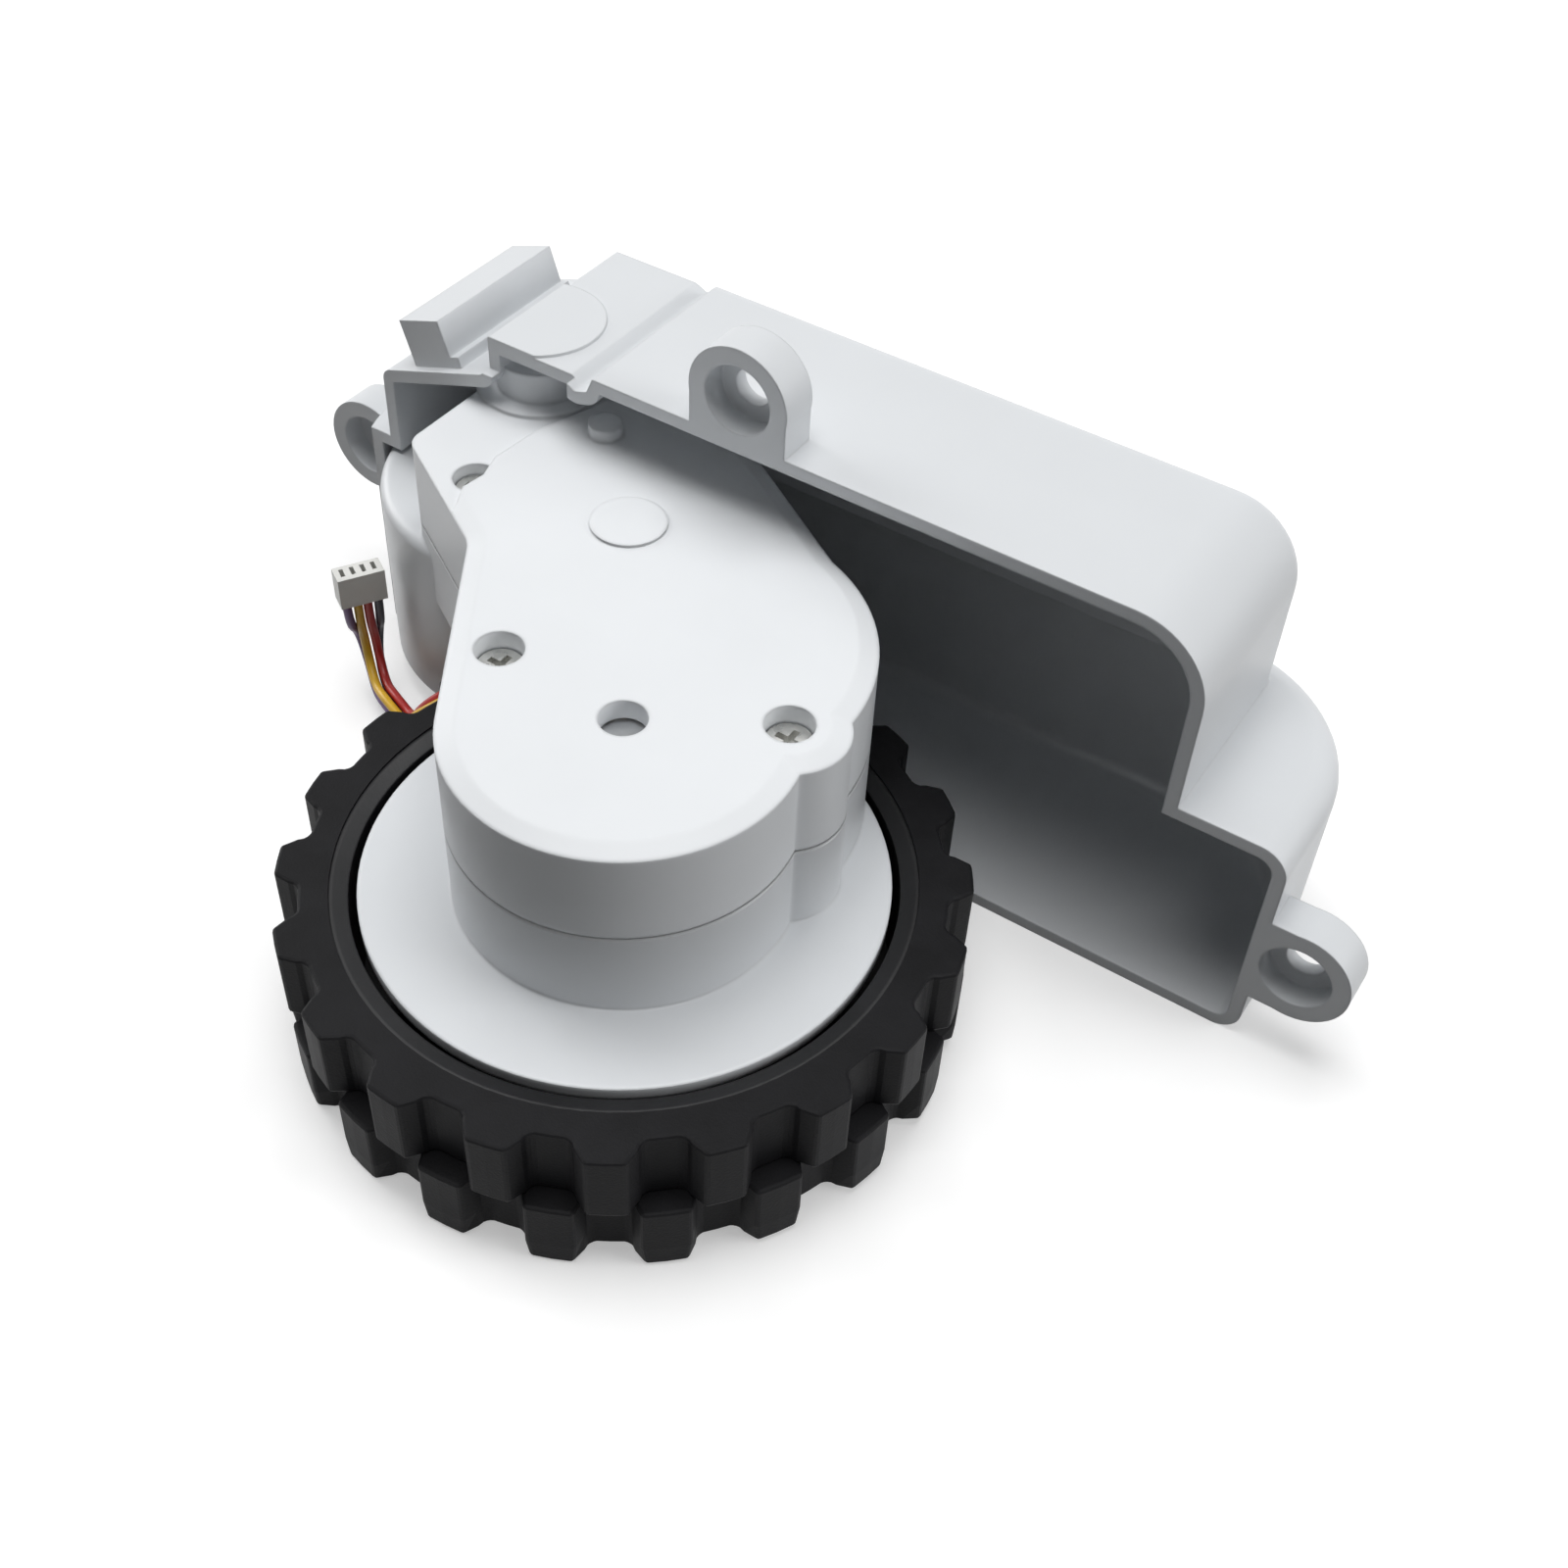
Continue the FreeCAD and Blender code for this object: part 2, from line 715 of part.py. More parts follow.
arm_core = rounded([
    (lobe_left, s.pivot_y - 17.3, 2.6),
    (shoulder[0], shoulder[1], 4.0),
    (tangent[0], tangent[1], 0),
    (0, 0, 0),
    (THIRD[0] + 10.9, THIRD[1] + 7.0, 0),
    (bulge_leaves[0], bulge_leaves[1], 0),
    (SECOND[0] + 5.6, SECOND[1] + 16.95, 2.0),
    (s.pivot_x + 8.5, s.pivot_y + 11.2, 5.0),
    (s.pivot_x + 1.9, s.pivot_y + 11.3, 5.0),
    (lobe_left, s.pivot_y + 4.5, 4.0),
])
bulge_limit = polygon([(bulge_at[0], -8), (THIRD[0] + 33, -8), (THIRD[0] + 33, THIRD[1] + 17),
                       (SECOND[0] + 5.6, THIRD[1] + 17)])
bulge = disc(bulge_at[0], bulge_at[1], bulge_radius)
arm_region = union([arm_core, big_end, bulge.common(bulge_limit).Faces[0], bump])
arm_cavity = inset(arm_region, s.case_wall)

base = new_body("gearbox_base")
pad_disc(base, "disc_radius", "disc_top - disc_thick", "disc_top")
pad_region(base, arm_region.common(disc(0, 0, s.disc_radius)).Faces[0], "disc_top - 0.5 * disc_thick", "case_split")
pad_region(base, arm_region, "tyre_width + tyre_gap", "case_split")
pad_disc(base, "drum_radius", "drum_low", "drum_top", PX, PY)
soften(base, "drum_round", lambda e: flat_at(e, s.drum_top) and e.BoundBox.XMin < s.pivot_x - s.drum_radius + 0.5)
drum_keep = disc(s.pivot_x, s.pivot_y, s.drum_radius)
towers = [disc(getattr(s, "screw_%s_x" % k), getattr(s, "screw_%s_y" % k), s.screw_radius + s.tower_wall)
          for k in "abc"]
low_cavity = arm_cavity.cut(drum_keep).Faces[0]
for tower in towers:
    low_cavity = low_cavity.cut(tower).Faces[0]
high_cavity = arm_cavity
for tower in towers:
    high_cavity = high_cavity.cut(tower).Faces[0]
cut_region(base, low_cavity, "case_floor", "drum_top")
cut_region(base, high_cavity, "drum_top", "case_split + wall")
cut_disc(base, "bearing_radius", "disc_top - disc_thick - wall", "case_split + wall")
cut_disc(base, "motor_radius + motor_fit", "drum_low - wall", "motor_top + 0.1 * wall", PX, PY)
cut_disc(base, "motor_nose_radius + motor_fit", "motor_top", "case_split + wall", PX, PY)
groove = disc(s.pivot_x, s.pivot_y, s.groove_out).cut(
    disc(s.pivot_x, s.pivot_y, s.groove_in)).Faces[0]
cut_region(base, groove, "drum_low - wall", "spring_groove_top")
cut_disc(base, "cap_radius", "drum_low - wall", "drum_low", PX, PY)

axle_seat = "tyre_width + tyre_gap + 0.3 * wall"
first_seat = "drum_top - 0.7 * case_wall"
CENTRES = {"first": FIRST, "second": SECOND, "third": THIRD}
GEAR_LOW = {"first": second_z, "second": third_z, "third": "output_low"}
GEAR_TOP = {
    "first": first_z + " + first_face",
    "second": second_z + " + second_face",
    "third": third_z + " + third_face",
}
for name, centre in CENTRES.items():
    stand = disc(centre[0], centre[1], s.axle_radius + s.tower_wall)
    floor = "drum_top" if name == "first" else "case_floor"
    pad_region(base, stand, floor + " - 0.1 * wall", GEAR_LOW[name] + " - gear_step + running_gap")
for name, centre in CENTRES.items():
    seat = first_seat if name == "first" else axle_seat
    cut_region(base, disc(centre[0], centre[1], s.axle_radius), seat, "case_top")
for k in "abc":
    cut_disc(base, "screw_radius", "screw_recess_floor - screw_depth", "case_top",
             "screw_%s_x" % k, "screw_%s_y" % k)
slot_end = 14.0
leg_slot = sector(s.groove_in, s.groove_out, slot_end - s.swing_range - 8, slot_end + 8)
leg_slot.translate(V(s.pivot_x, s.pivot_y, 0))
cut_region(base, leg_slot, "spring_groove_top - 0.1 * wall", "spring_groove_top + spring_leg + 0.3 * wall")
outlet = sector(s.motor_radius, s.drum_radius + s.wall, s.outlet_angle - s.outlet_spread / 2,
                s.outlet_angle + s.outlet_spread / 2)
outlet.translate(V(s.pivot_x, s.pivot_y, 0))
cut_region(base, outlet, "outlet_z - 0.5 * outlet_height", "outlet_z + 0.5 * outlet_height")

# Gearbox cover: the other half of the case, with a stepped top, screw recesses, a pad and
# a peg over the gears, and the pivot's ring and boss.

lobe_ring = disc(s.pivot_x, s.pivot_y, s.ring_radius)
cover_region = union([arm_region, lobe_ring])
seam_steps = [(8.3, -26.5), (5.9, -20.9), (6.3, -18.0), (5.3, -14.9), (5.8, -8.5), (7.9, -2.0), (10.5, 14.5)]
seam = [(s.pivot_x + x, s.pivot_y + y) for x, y in seam_steps]
lobe_zone = polygon(seam + [(s.pivot_x - s.drum_radius, seam[-1][1]), (s.pivot_x - s.drum_radius, seam[0][1] - 8),
                            (seam[0][0] - 0.8, seam[0][1] - 8)])
cover = new_body("gearbox_cover")
pad_region(cover, cover_region, "case_split", "case_top - lobe_drop")
plateau = cover_region.cut(lobe_zone).Faces[0]
pad_region(cover, plateau, "case_top - lobe_drop - 0.1 * wall", "case_top")


def top_rim(edge):
    """Outer edges of the cover's two top faces, but not the step between them."""
    return flat_at(edge, s.case_top) and near_outline(cover_region, edge)


bevel(cover, "band_width", "band_drop", top_rim)
cover_cavity = inset(arm_region, s.case_wall)
cover_towers = [disc(getattr(s, "screw_%s_x" % k), getattr(s, "screw_%s_y" % k),
                     s.screw_recess_radius + s.tower_wall) for k in "abc"]
for tower in cover_towers:
    cover_cavity = cover_cavity.cut(tower).Faces[0]
cut_region(cover, cover_cavity, "case_split - 0.1 * wall", "case_top - cover_plate")
pinion_tip = pitch_radius(s.gear_fine, s.pinion_teeth) + s.gear_fine
cut_region(cover, disc(s.pivot_x, s.pivot_y, pinion_tip), "case_split - 0.1 * wall",
           first_z + " + first_face + 2 * gear_step")
pad_disc(cover, "bearing_radius + 0.6 * tower_wall", "shaft_top - bearing_height + 0.2 * wall",
         "case_top - 0.5 * cover_plate")
cut_disc(cover, "shaft_radius + 2 * tower_wall", "shaft_top - bearing_height", "shaft_top + 0.2 * wall")
cut_disc(cover, "hub_hole_radius", "case_split", "case_top + wall")
for name, centre in CENTRES.items():
    stand = disc(centre[0], centre[1], s.axle_radius + s.tower_wall)
    pad_region(cover, stand, GEAR_TOP[name] + " + gear_step - running_gap", "case_top - 0.6 * cover_plate")
for name, centre in CENTRES.items():
    cut_region(cover, disc(centre[0], centre[1], s.axle_radius), "case_split", "case_top - 0.5 * cover_plate")
for k in "ab":
    cut_disc(cover, "screw_recess_radius", "screw_recess_floor", "case_top + wall",
             "screw_%s_x" % k, "screw_%s_y" % k)
half_recess = disc(s.screw_c_x, s.screw_c_y, s.screw_recess_radius).common(lobe_zone).Faces[0]
cut_region(cover, half_recess, "screw_recess_floor", "case_top + wall")
head_room = disc(s.screw_c_x, s.screw_c_y, s.screw_recess_radius)
cut_region(cover, head_room, "screw_recess_floor", "screw_recess_floor + screw_head + screw_hole_gap")
for k in "abc":
    cut_disc(cover, "screw_radius + 0.5 * screw_hole_gap", "case_split - wall", "screw_recess_floor + wall",
             "screw_%s_x" % k, "screw_%s_y" % k)
pad_disc(cover, "ring_radius", "case_top - lobe_drop - 0.3 * wall", "case_top - lobe_drop + ring_rise", PX, PY)
pad_disc(cover, "boss_radius", "case_top - lobe_drop", "case_top - lobe_drop + boss_height", PX, PY)
pad_region(cover, disc(SECOND[0], SECOND[1], s.pad_radius), "case_top - 0.1 * wall", "case_top + pad_rise")
pad_region(cover, disc(FIRST[0], FIRST[1], s.peg_radius), "case_top - 0.1 * wall", "case_top + peg_height")
pin_low = "case_top - lobe_drop - 0.2 * wall"
cut_disc(cover, "pivot_pin_radius + running_gap", pin_low, "case_top + boss_height + wall", PX, PY)

# Case screws, gear axles and shaft bearings.

case_screws = new_body("case_screws")
for k in "abc":
    x, y = "screw_%s_x" % k, "screw_%s_y" % k
    pad_disc(case_screws, "screw_radius", "screw_recess_floor - screw_depth", "screw_recess_floor", x, y)
    pad_disc(case_screws, "screw_head_radius", "screw_recess_floor", "screw_recess_floor + screw_head", x, y)
    slots = cross_slot(0.62 * s.screw_head_radius, 0.15 * s.screw_head_radius)
    slots.translate(V(getattr(s, x), getattr(s, y), 0))
    cut_region(case_screws, slots, "screw_recess_floor + 0.4 * screw_head", "screw_recess_floor + 2 * screw_head")

axles = new_body("gear_axles")
for name, centre in CENTRES.items():
    seat = first_seat if name == "first" else axle_seat
    pad_region(axles, disc(centre[0], centre[1], s.axle_radius), seat, "case_top - 0.5 * cover_plate")

low_bearing = new_body("lower_shaft_bearing")
pad_disc(low_bearing, "bearing_radius", "disc_top - disc_thick", "disc_top - disc_thick + bearing_height",
         bore="shaft_radius + running_gap")
top_bearing = new_body("upper_shaft_bearing")
pad_disc(top_bearing, "shaft_radius + 2 * tower_wall", "shaft_top - bearing_height + 0.2 * wall",
         "shaft_top + 0.2 * wall", bore="shaft_radius + running_gap")

# Drum cap with the lower pivot's bush, and the two pivot pins held by the housing.

cap = new_body("drum_cap")
pad_disc(cap, "cap_radius", "cap_low", "cap_low + cap_thick", PX, PY)
pad_disc(cap, "cap_boss_radius", "cap_low + 0.5 * cap_thick", "lower_pin_top + 0.5 * cap_thick", PX, PY)
cut_disc(cap, "pivot_pin_radius + running_gap", "cap_low - wall", "lower_pin_top + running_gap", PX, PY)
low_pin = new_body("lower_pivot_pin")
pad_disc(low_pin, "pivot_pin_radius", "floor_low", "lower_pin_top", PX, PY)
top_pin = new_body("upper_pivot_pin")
pad_disc(top_pin, "pivot_pin_radius", pin_low + " + running_gap", "bridge_top - 0.3 * wall", PX, PY)

# Return spring: a torsion coil in the drum's groove, one leg in the floor, one in the drum.

def on_coil(angle, along=0.0, up=0.0):
    """A point of the coil at an angle, moved along its tangent there and upwards."""
    turn = math.radians(angle)
    outward, onward = V(math.cos(turn), math.sin(turn), 0), V(-math.sin(turn), math.cos(turn), 0)
    return outward * s.spring_radius + onward * along + V(0, 0, up)


coil_z = s.spring_low + s.spring_wire
bend = s.spring_bend
share = bend * math.sqrt(0.5)
foot_end = on_coil(0, -bend, s.floor_low + 0.4 * s.floor_thick - coil_z)
head_end = on_coil(s.spring_sweep, bend, s.spring_groove_top + s.spring_leg - coil_z)
spring_path = Part.Wire([
    Part.LineSegment(foot_end, on_coil(0, -bend, -bend)).toShape(),
    Part.Arc(on_coil(0, -bend, -bend), on_coil(0, -share, share - bend), on_coil(0)).toShape(),
    Part.Arc(on_coil(0), on_coil(s.spring_sweep / 2), on_coil(s.spring_sweep)).toShape(),
    Part.Arc(on_coil(s.spring_sweep), on_coil(s.spring_sweep, share, bend - share),
             on_coil(s.spring_sweep, bend, bend)).toShape(),
    Part.LineSegment(on_coil(s.spring_sweep, bend, bend), head_end).toShape(),
])
section = Part.Wire(Part.Circle(foot_end, V(0, 0, 1), s.spring_wire).toShape())
spring_shape = spring_path.makePipeShell([section], True, True)
leg_lead = math.degrees(math.atan2(bend, s.spring_radius))
spring_turn = slot_end - s.spring_sweep - leg_lead
spring_shape.rotate(V(), V(0, 0, 1), spring_turn)
spring_shape.translate(V(s.pivot_x, s.pivot_y, coil_z))
print("spring volume %.2f against %.2f" % (spring_shape.Volume, spring_path.Length * math.pi * s.spring_wire ** 2))
spring = doc.addObject("Part::Feature", "Body_return_spring")
spring.Label = "return_spring"
spring.Shape = spring_shape
foot_at = step(PIVOT, math.hypot(s.spring_radius, bend), spring_turn - leg_lead)

# Housing: one moulding, open towards -Y. Its upper part takes the gearbox, its lower part
# the wheel and its left end the drum. The outer form and the room inside are two bodies,
# and the housing is the first less the second.

form = new_body("HousingForm")
room = new_body("HousingRoom")
slope = math.tan(math.radians(s.roof_angle))
roof_end = s.left_roof + slope * (s.bridge_left - s.left_end)
low_line = s.step_top - 1.5 * s.wall
bulge_in = s.drum_radius + s.drum_gap
bulge_out = bulge_in + s.wall
back_y = s.pivot_y + bulge_out - s.back_inset
upper_back = s.rim_y + s.upper_depth


def pad_back(body, region, front, depth):
    """Pads a region drawn in X and Z from the plane y = front towards +Y."""
    sketch = new_sketch(body, "XZ_Plane", "0 - (%s)" % val(front)[0])
    draw(sketch, region)
    return pad(body, sketch, depth, backward=True)


def cut_back(body, region, front, depth):
    sketch = new_sketch(body, "XZ_Plane", "0 - (%s)" % val(front)[0])
    draw(sketch, region)
    return pocket(body, sketch, depth, upward=False)


def corner_outside(radius):
    """Plan of what lies behind and left of a circle round the pivot."""
    left = s.pivot_x - s.drum_radius - 4 * s.wall
    square = polygon([(left, s.pivot_y), (s.pivot_x, s.pivot_y), (s.pivot_x, s.pivot_y + bulge_out + s.wall),
                      (left, s.pivot_y + bulge_out + s.wall)])
    return square.cut(disc(s.pivot_x, s.pivot_y, radius)).Faces[0]


upper_outline = rounded([
    (s.left_end, low_line, 0),
    (s.upper_right, low_line, 0),
    (s.upper_right, s.top_z, s.upper_corner),
    (s.upper_left, s.top_z, 0),
    (s.upper_left - 0.8, s.bridge_top - 0.3, 0.6),
    (s.bridge_right + 1.4, s.bridge_top - 0.8, 0.6),
    (s.bridge_right, s.bridge_top, 0.4),
    (s.bridge_left, s.bridge_top, 0.6),
    (s.bridge_left, roof_end, 0.6),
    (s.left_end, s.left_roof, 1.6),
])
pad_back(form, upper_outline, "rim_y", "upper_depth")
cut_region(form, corner_outside(bulge_out), "floor_low", "top_z + wall")
soften(form, "edge_round", lambda e: e.BoundBox.YMin > upper_back - 0.01
       and e.BoundBox.XMin > s.upper_left - 0.5 and e.BoundBox.ZMax > low_line + 1)


def wheel_plan(shrink, front):
    """Plan of the wheel's part, less the given wall, from the given front line."""
    return rounded([
        (s.pivot_x + 2, front, 0),
        (s.right_end - shrink, front, 0),
        (s.right_end - shrink, back_y - shrink, s.back_corner - shrink),
        (s.pivot_x + 2, back_y - shrink, 0),
    ])


def outer_run(edge, z):
    """An edge at height z along the right end, its corner or the back."""
    return flat_at(edge, z) and near_outline(wheel_plan(0, s.rim_y), edge) \
        and edge.BoundBox.YMax > s.rim_y + 1 and edge.BoundBox.XMax > s.pivot_x + 3


def inner_run(edge, z):
    return flat_at(edge, z) and near_outline(wheel_plan(s.wall, s.rim_y - s.wall), edge) \
        and edge.BoundBox.YMax > s.rim_y + 1 and edge.BoundBox.XMax > s.pivot_x + 3


pad_region(form, wheel_plan(0, s.rim_y), "floor_low", "step_top")
soften(form, "step_round", lambda e: outer_run(e, s.step_top))
soften(form, "foot_round", lambda e: outer_run(e, s.floor_low))
wide = 2 * bulge_out
front_half = polygon([(s.pivot_x - wide, s.rim_y), (s.pivot_x + wide, s.rim_y),
                      (s.pivot_x + wide, s.pivot_y + wide), (s.pivot_x - wide, s.pivot_y + wide)])
bulge_plan = disc(s.pivot_x, s.pivot_y, bulge_out).common(front_half).Faces[0]
pad_region(form, bulge_plan, "floor_low", "drum_top + drum_gap + wall")

pad_region(room, wheel_plan(s.wall, s.rim_y - s.wall), "floor_low + floor_thick", "step_top - wall")
soften(room, "step_round - wall", lambda e: inner_run(e, s.step_top - s.wall))
soften(room, "foot_round - wall", lambda e: inner_run(e, s.floor_low + s.floor_thick))
room_low = s.step_top - 2 * s.wall
below = polygon([(s.left_end + s.wall, room_low), (s.upper_right - s.wall, room_low),
                 (s.upper_right - s.wall, s.step_top), (s.left_end + s.wall, s.step_top)])
pad_back(room, union([inset(upper_outline, s.wall), below]), "rim_y - wall", "upper_depth")
cut_region(room, corner_outside(bulge_in), "floor_low", "top_z + wall")
pad_disc(room, "drum_radius + drum_gap", "floor_low + floor_thick", "drum_top + drum_gap", PX, PY)
pad_disc(room, "boss_radius + drum_gap", "case_top - wall", "case_top - lobe_drop + boss_height + drum_gap", PX, PY)

# The bridge stands back from the rim and carries a round pad over the pivot.

set_back = polygon([(s.bridge_left - 3, roof_end + 0.2), (s.bridge_right + 0.4, s.bridge_top - 2.4 * s.wall),
                    (s.bridge_right + 0.4, s.bridge_top + 2), (s.bridge_left - 3, s.bridge_top + 2)])
cut_back(form, set_back, "rim_y - wall", "wall + bridge_set_back")
bridge_front = s.rim_y + s.bridge_set_back
bridge_pad = disc(s.pivot_x, s.pivot_y, s.bridge_pad_radius).common(
    polygon([(s.bridge_left, bridge_front), (s.bridge_right, bridge_front),
             (s.bridge_right, s.pivot_y + 20), (s.bridge_left, s.pivot_y + 20)])).Faces[0]
pad_region(form, bridge_pad, "bridge_top - 0.5 * wall", "bridge_top + bridge_pad_rise")

# Ears: each a boss with a web to the wall behind it.


def ear(x, z, web):
    return union([disc(x, z, s.ear_radius), web])


right_web = polygon([(s.right_end - 0.6 * s.wall, s.ear_right_z + s.ear_radius - 0.1),
                     (s.ear_right_x, s.ear_right_z + s.ear_radius - 0.1),
                     (s.ear_right_x, s.ear_right_z - s.ear_radius + 0.1),
                     (s.right_end - 0.6 * s.wall, s.ear_right_z - s.ear_radius + 0.1)])
top_web = polygon([(s.ear_top_x - s.ear_radius + 0.1, s.top_z - 0.6 * s.wall), (s.ear_top_x - s.ear_radius + 0.1, s.ear_top_z),
                   (s.ear_top_x + s.ear_radius - 0.1, s.ear_top_z),
                   (s.ear_top_x + s.ear_radius - 0.1, s.top_z - 0.6 * s.wall)])
left_web = polygon([(s.ear_left_x, s.ear_left_z - s.ear_radius + 0.1), (s.ear_left_x, s.ear_left_z + s.ear_radius - 0.1),
                    (s.left_end + 0.5 * s.wall, s.ear_left_z + s.ear_radius - 1.6),
                    (s.left_end + 0.2 * s.wall, s.ear_left_z - s.ear_radius + 0.1)])
EARS = {"right": right_web, "top": top_web, "left": left_web}
EAR_FRONT = {"right": "rim_y", "top": "rim_y", "left": "rim_y + ear_left_back"}
for name, web in EARS.items():
    x, z = getattr(s, "ear_%s_x" % name), getattr(s, "ear_%s_z" % name)
    shape = ear(x, z, web)
    pad_back(form, shape, EAR_FRONT[name], "ear_depth")
for name, front in EAR_FRONT.items():
    x, z = getattr(s, "ear_%s_x" % name), getattr(s, "ear_%s_z" % name)
    cut_back(form, disc(x, z, s.ear_hole_radius), front + " - wall", "ear_depth + 3 * wall")
    cut_back(form, disc(x, z, s.ear_counterbore), front + " - wall", "wall + ear_counterbore_depth")

# Cable guide, an L-shaped bar standing square on the sloping roof, and the post beside it.


def on_roof(across, up):
    """A point of the sloping roof's own plane, from the guide's middle."""
    turn = math.radians(s.roof_angle)
    x0 = s.guide_x
    z0 = s.left_roof + slope * (s.guide_x - s.left_end)
    return (x0 + across * math.cos(turn) - up * math.sin(turn),
            z0 + across * math.sin(turn) + up * math.cos(turn))


half = s.guide_width / 2
guide = polygon([on_roof(-half, -0.5 * s.wall), on_roof(half + 1.2, -0.5 * s.wall), on_roof(half + 1.2, 1.3),
                 on_roof(half, 1.3), on_roof(half, s.guide_height), on_roof(-half, s.guide_height)])
pad_back(form, guide, "rim_y + 0.8 * wall", "guide_length")
pad_disc(form, "post_radius", "left_roof - wall", "post_top", "post_x", "post_y")
cut_disc(form, "pivot_pin_radius", "floor_low - wall", "floor_low + 2 * wall", PX, PY)
cut_disc(form, "pivot_pin_radius", "case_top", "bridge_top - 0.3 * wall", PX, PY)
leg_hole = disc(foot_at[0], foot_at[1], s.spring_wire)
cut_region(form, leg_hole, "floor_low + 0.4 * floor_thick", "floor_low + 2 * floor_thick")

housing = doc.addObject("Part::Cut", "Housing")
housing.Label = "housing"
housing.Base = form
housing.Tool = room

# Plug of the wire harness, standing beside the drum.

plug = new_body("wire_plug")
long_half, deep_half = s.plug_long / 2, s.plug_deep / 2
pad_region(plug, polygon([(-long_half, -deep_half), (long_half, -deep_half),
                          (long_half, deep_half), (-long_half, deep_half)]), "plug_top - plug_tall", "plug_top")
for k in (-1.5, -0.5, 0.5, 1.5):
    x = k * s.plug_pitch
    slot_half = 0.2 * s.plug_pitch
    cut_region(plug, polygon([(x - slot_half, -0.45 * deep_half), (x + slot_half, -0.45 * deep_half),
                              (x + slot_half, 0.6 * deep_half), (x - slot_half, 0.6 * deep_half)]),
               "plug_top - 0.6 * plug_tall", "plug_top + wall")
place(plug, "plug_x", "plug_y")
bind(plug, "Placement.Rotation.Angle", cell("plug_angle"))

# Grommet in the drum's outlet, and four wires from the plug down beside the drum, round
# its foot and in at the grommet.

grommet = new_body("wire_grommet")
grommet_region = sector(s.drum_radius - s.grommet_depth + 0.3, s.drum_radius + 0.3,
                        s.outlet_angle - s.outlet_spread / 2, s.outlet_angle + s.outlet_spread / 2)
grommet_region.translate(V(s.pivot_x, s.pivot_y, 0))
pad_region(grommet, grommet_region, "outlet_z - 0.5 * outlet_height", "outlet_z + 0.5 * outlet_height")

ROUTE = [(-52.8, 19.2, 9.7), (-53.8, 20.5, 6.6), (-53.0, 19.9, 3.2), (-50.3, 17.9, 1.2),
         (-47.1, 16.1, 2.2), (-42.3, 14.4, 1.8), (-38.1, 11.9, 8.2)]
# The outer two wires come in to the bundle one bend later than the inner two.
FAN = {"purple": 2.0, "black": 2.0, "yellow": 1.0, "red": 1.0}
SPREAD ={"purple": (0.62, -0.62), "black": (-0.62, -0.62), "yellow": (0.62, 0.62), "red": (-0.62, 0.62)}
COLUMN = {"purple": -1.5, "yellow": -0.5, "red": 0.5, "black": 1.5}


def tangent_tube(points, radius):
    """A tube along straight runs joined by tangent arcs as large as the runs allow."""
    path = []
    here = points[0]
    radii = []
    for i in range(1, len(points) - 1):
        corner = points[i]
        to_last, to_next = points[i - 1] - corner, points[i + 1] - corner
        shorter = min(to_last.Length, to_next.Length)
        turn = math.pi - to_last.getAngle(to_next)
        bend = 0.45 * shorter / math.tan(turn / 2)
        radii.append(bend)
        before, after = V(to_last).normalize(), V(to_next).normalize()
        enter, leave = corner + before * 0.45 * shorter, corner + after * 0.45 * shorter
        toward = (before + after).normalize()
        centre = corner + toward * (bend / math.cos(turn / 2))
        path.append(Part.LineSegment(here, enter).toShape())
        path.append(Part.Arc(enter, centre - toward * bend, leave).toShape())
        here = leave
    path.append(Part.LineSegment(here, points[-1]).toShape())
    wire = Part.Wire(path)
    ring = Part.Wire(Part.Circle(points[0], points[1] - points[0], radius).toShape())
    tube = wire.makePipeShell([ring], True, True)
    print("wire length %.1f, bends %s" % (wire.Length, ["%.1f" % r for r in radii]))
    print("wire volume %.2f against %.2f" % (tube.Volume, wire.Length * math.pi * radius ** 2))
    return tube


plug_turn = math.radians(s.plug_angle)
inward = math.radians(s.outlet_angle)
ROUTE.append((s.pivot_x + (s.drum_radius + 3.57) * math.cos(inward),
              s.pivot_y + (s.drum_radius + 3.57) * math.sin(inward), s.outlet_z))
ROUTE.append((s.pivot_x + (s.drum_radius - 0.4) * math.cos(inward),
              s.pivot_y + (s.drum_radius - 0.4) * math.sin(inward), s.outlet_z))
for colour, (side, up) in SPREAD.items():
    shift = COLUMN[colour] * s.plug_pitch
    points = [V(s.plug_x + shift * math.cos(plug_turn), s.plug_y + shift * math.sin(plug_turn),
                s.plug_top - s.plug_tall)]
    points.append(V(points[0].x, points[0].y, ROUTE[0][2]))
    for i in range(1, len(ROUTE)):
        ahead = V(*ROUTE[min(i + 1, len(ROUTE) - 1)])
        behind = V(*ROUTE[i - 1])
        way = (ahead - behind).normalize()
        across = way.cross(V(0, 0, 1)) if abs(way.z) < 0.9 else V(-0.68, -0.73, 0)
        across.normalize()
        over = across.cross(way)
        fan = FAN[colour] if i == 1 else 1.0
        points.append(V(*ROUTE[i]) + across * side * fan + over * up)
    wire = doc.addObject("Part::Feature", "Body_wire_" + colour)
    wire.Label = "wire_" + colour
    wire.Shape = tangent_tube(points, s.wire_radius)

# Everything is tested before any file is written.

doc.recompute()
for item in doc.Objects:
    for flag in ("Invalid", "Error"):
        if flag in item.State:
            raise RuntimeError("%s did not build" % item.Label)
parts = [item for item in doc.Objects
         if item.TypeId in ("PartDesign::Body", "Part::Feature", "Part::Cut") and item.Label.islower()]
for item in parts:
    if item.Shape.isNull() or not item.Shape.isValid():
        raise RuntimeError("%s has no valid shape" % item.Label)
os.makedirs("parts", exist_ok=True)
for item in parts:
    item.Shape.exportStep("parts/%s.step" % item.Label)
    print("%-22s %2d solids %9.1f mm3" % (item.Label, len(item.Shape.Solids), item.Shape.Volume))
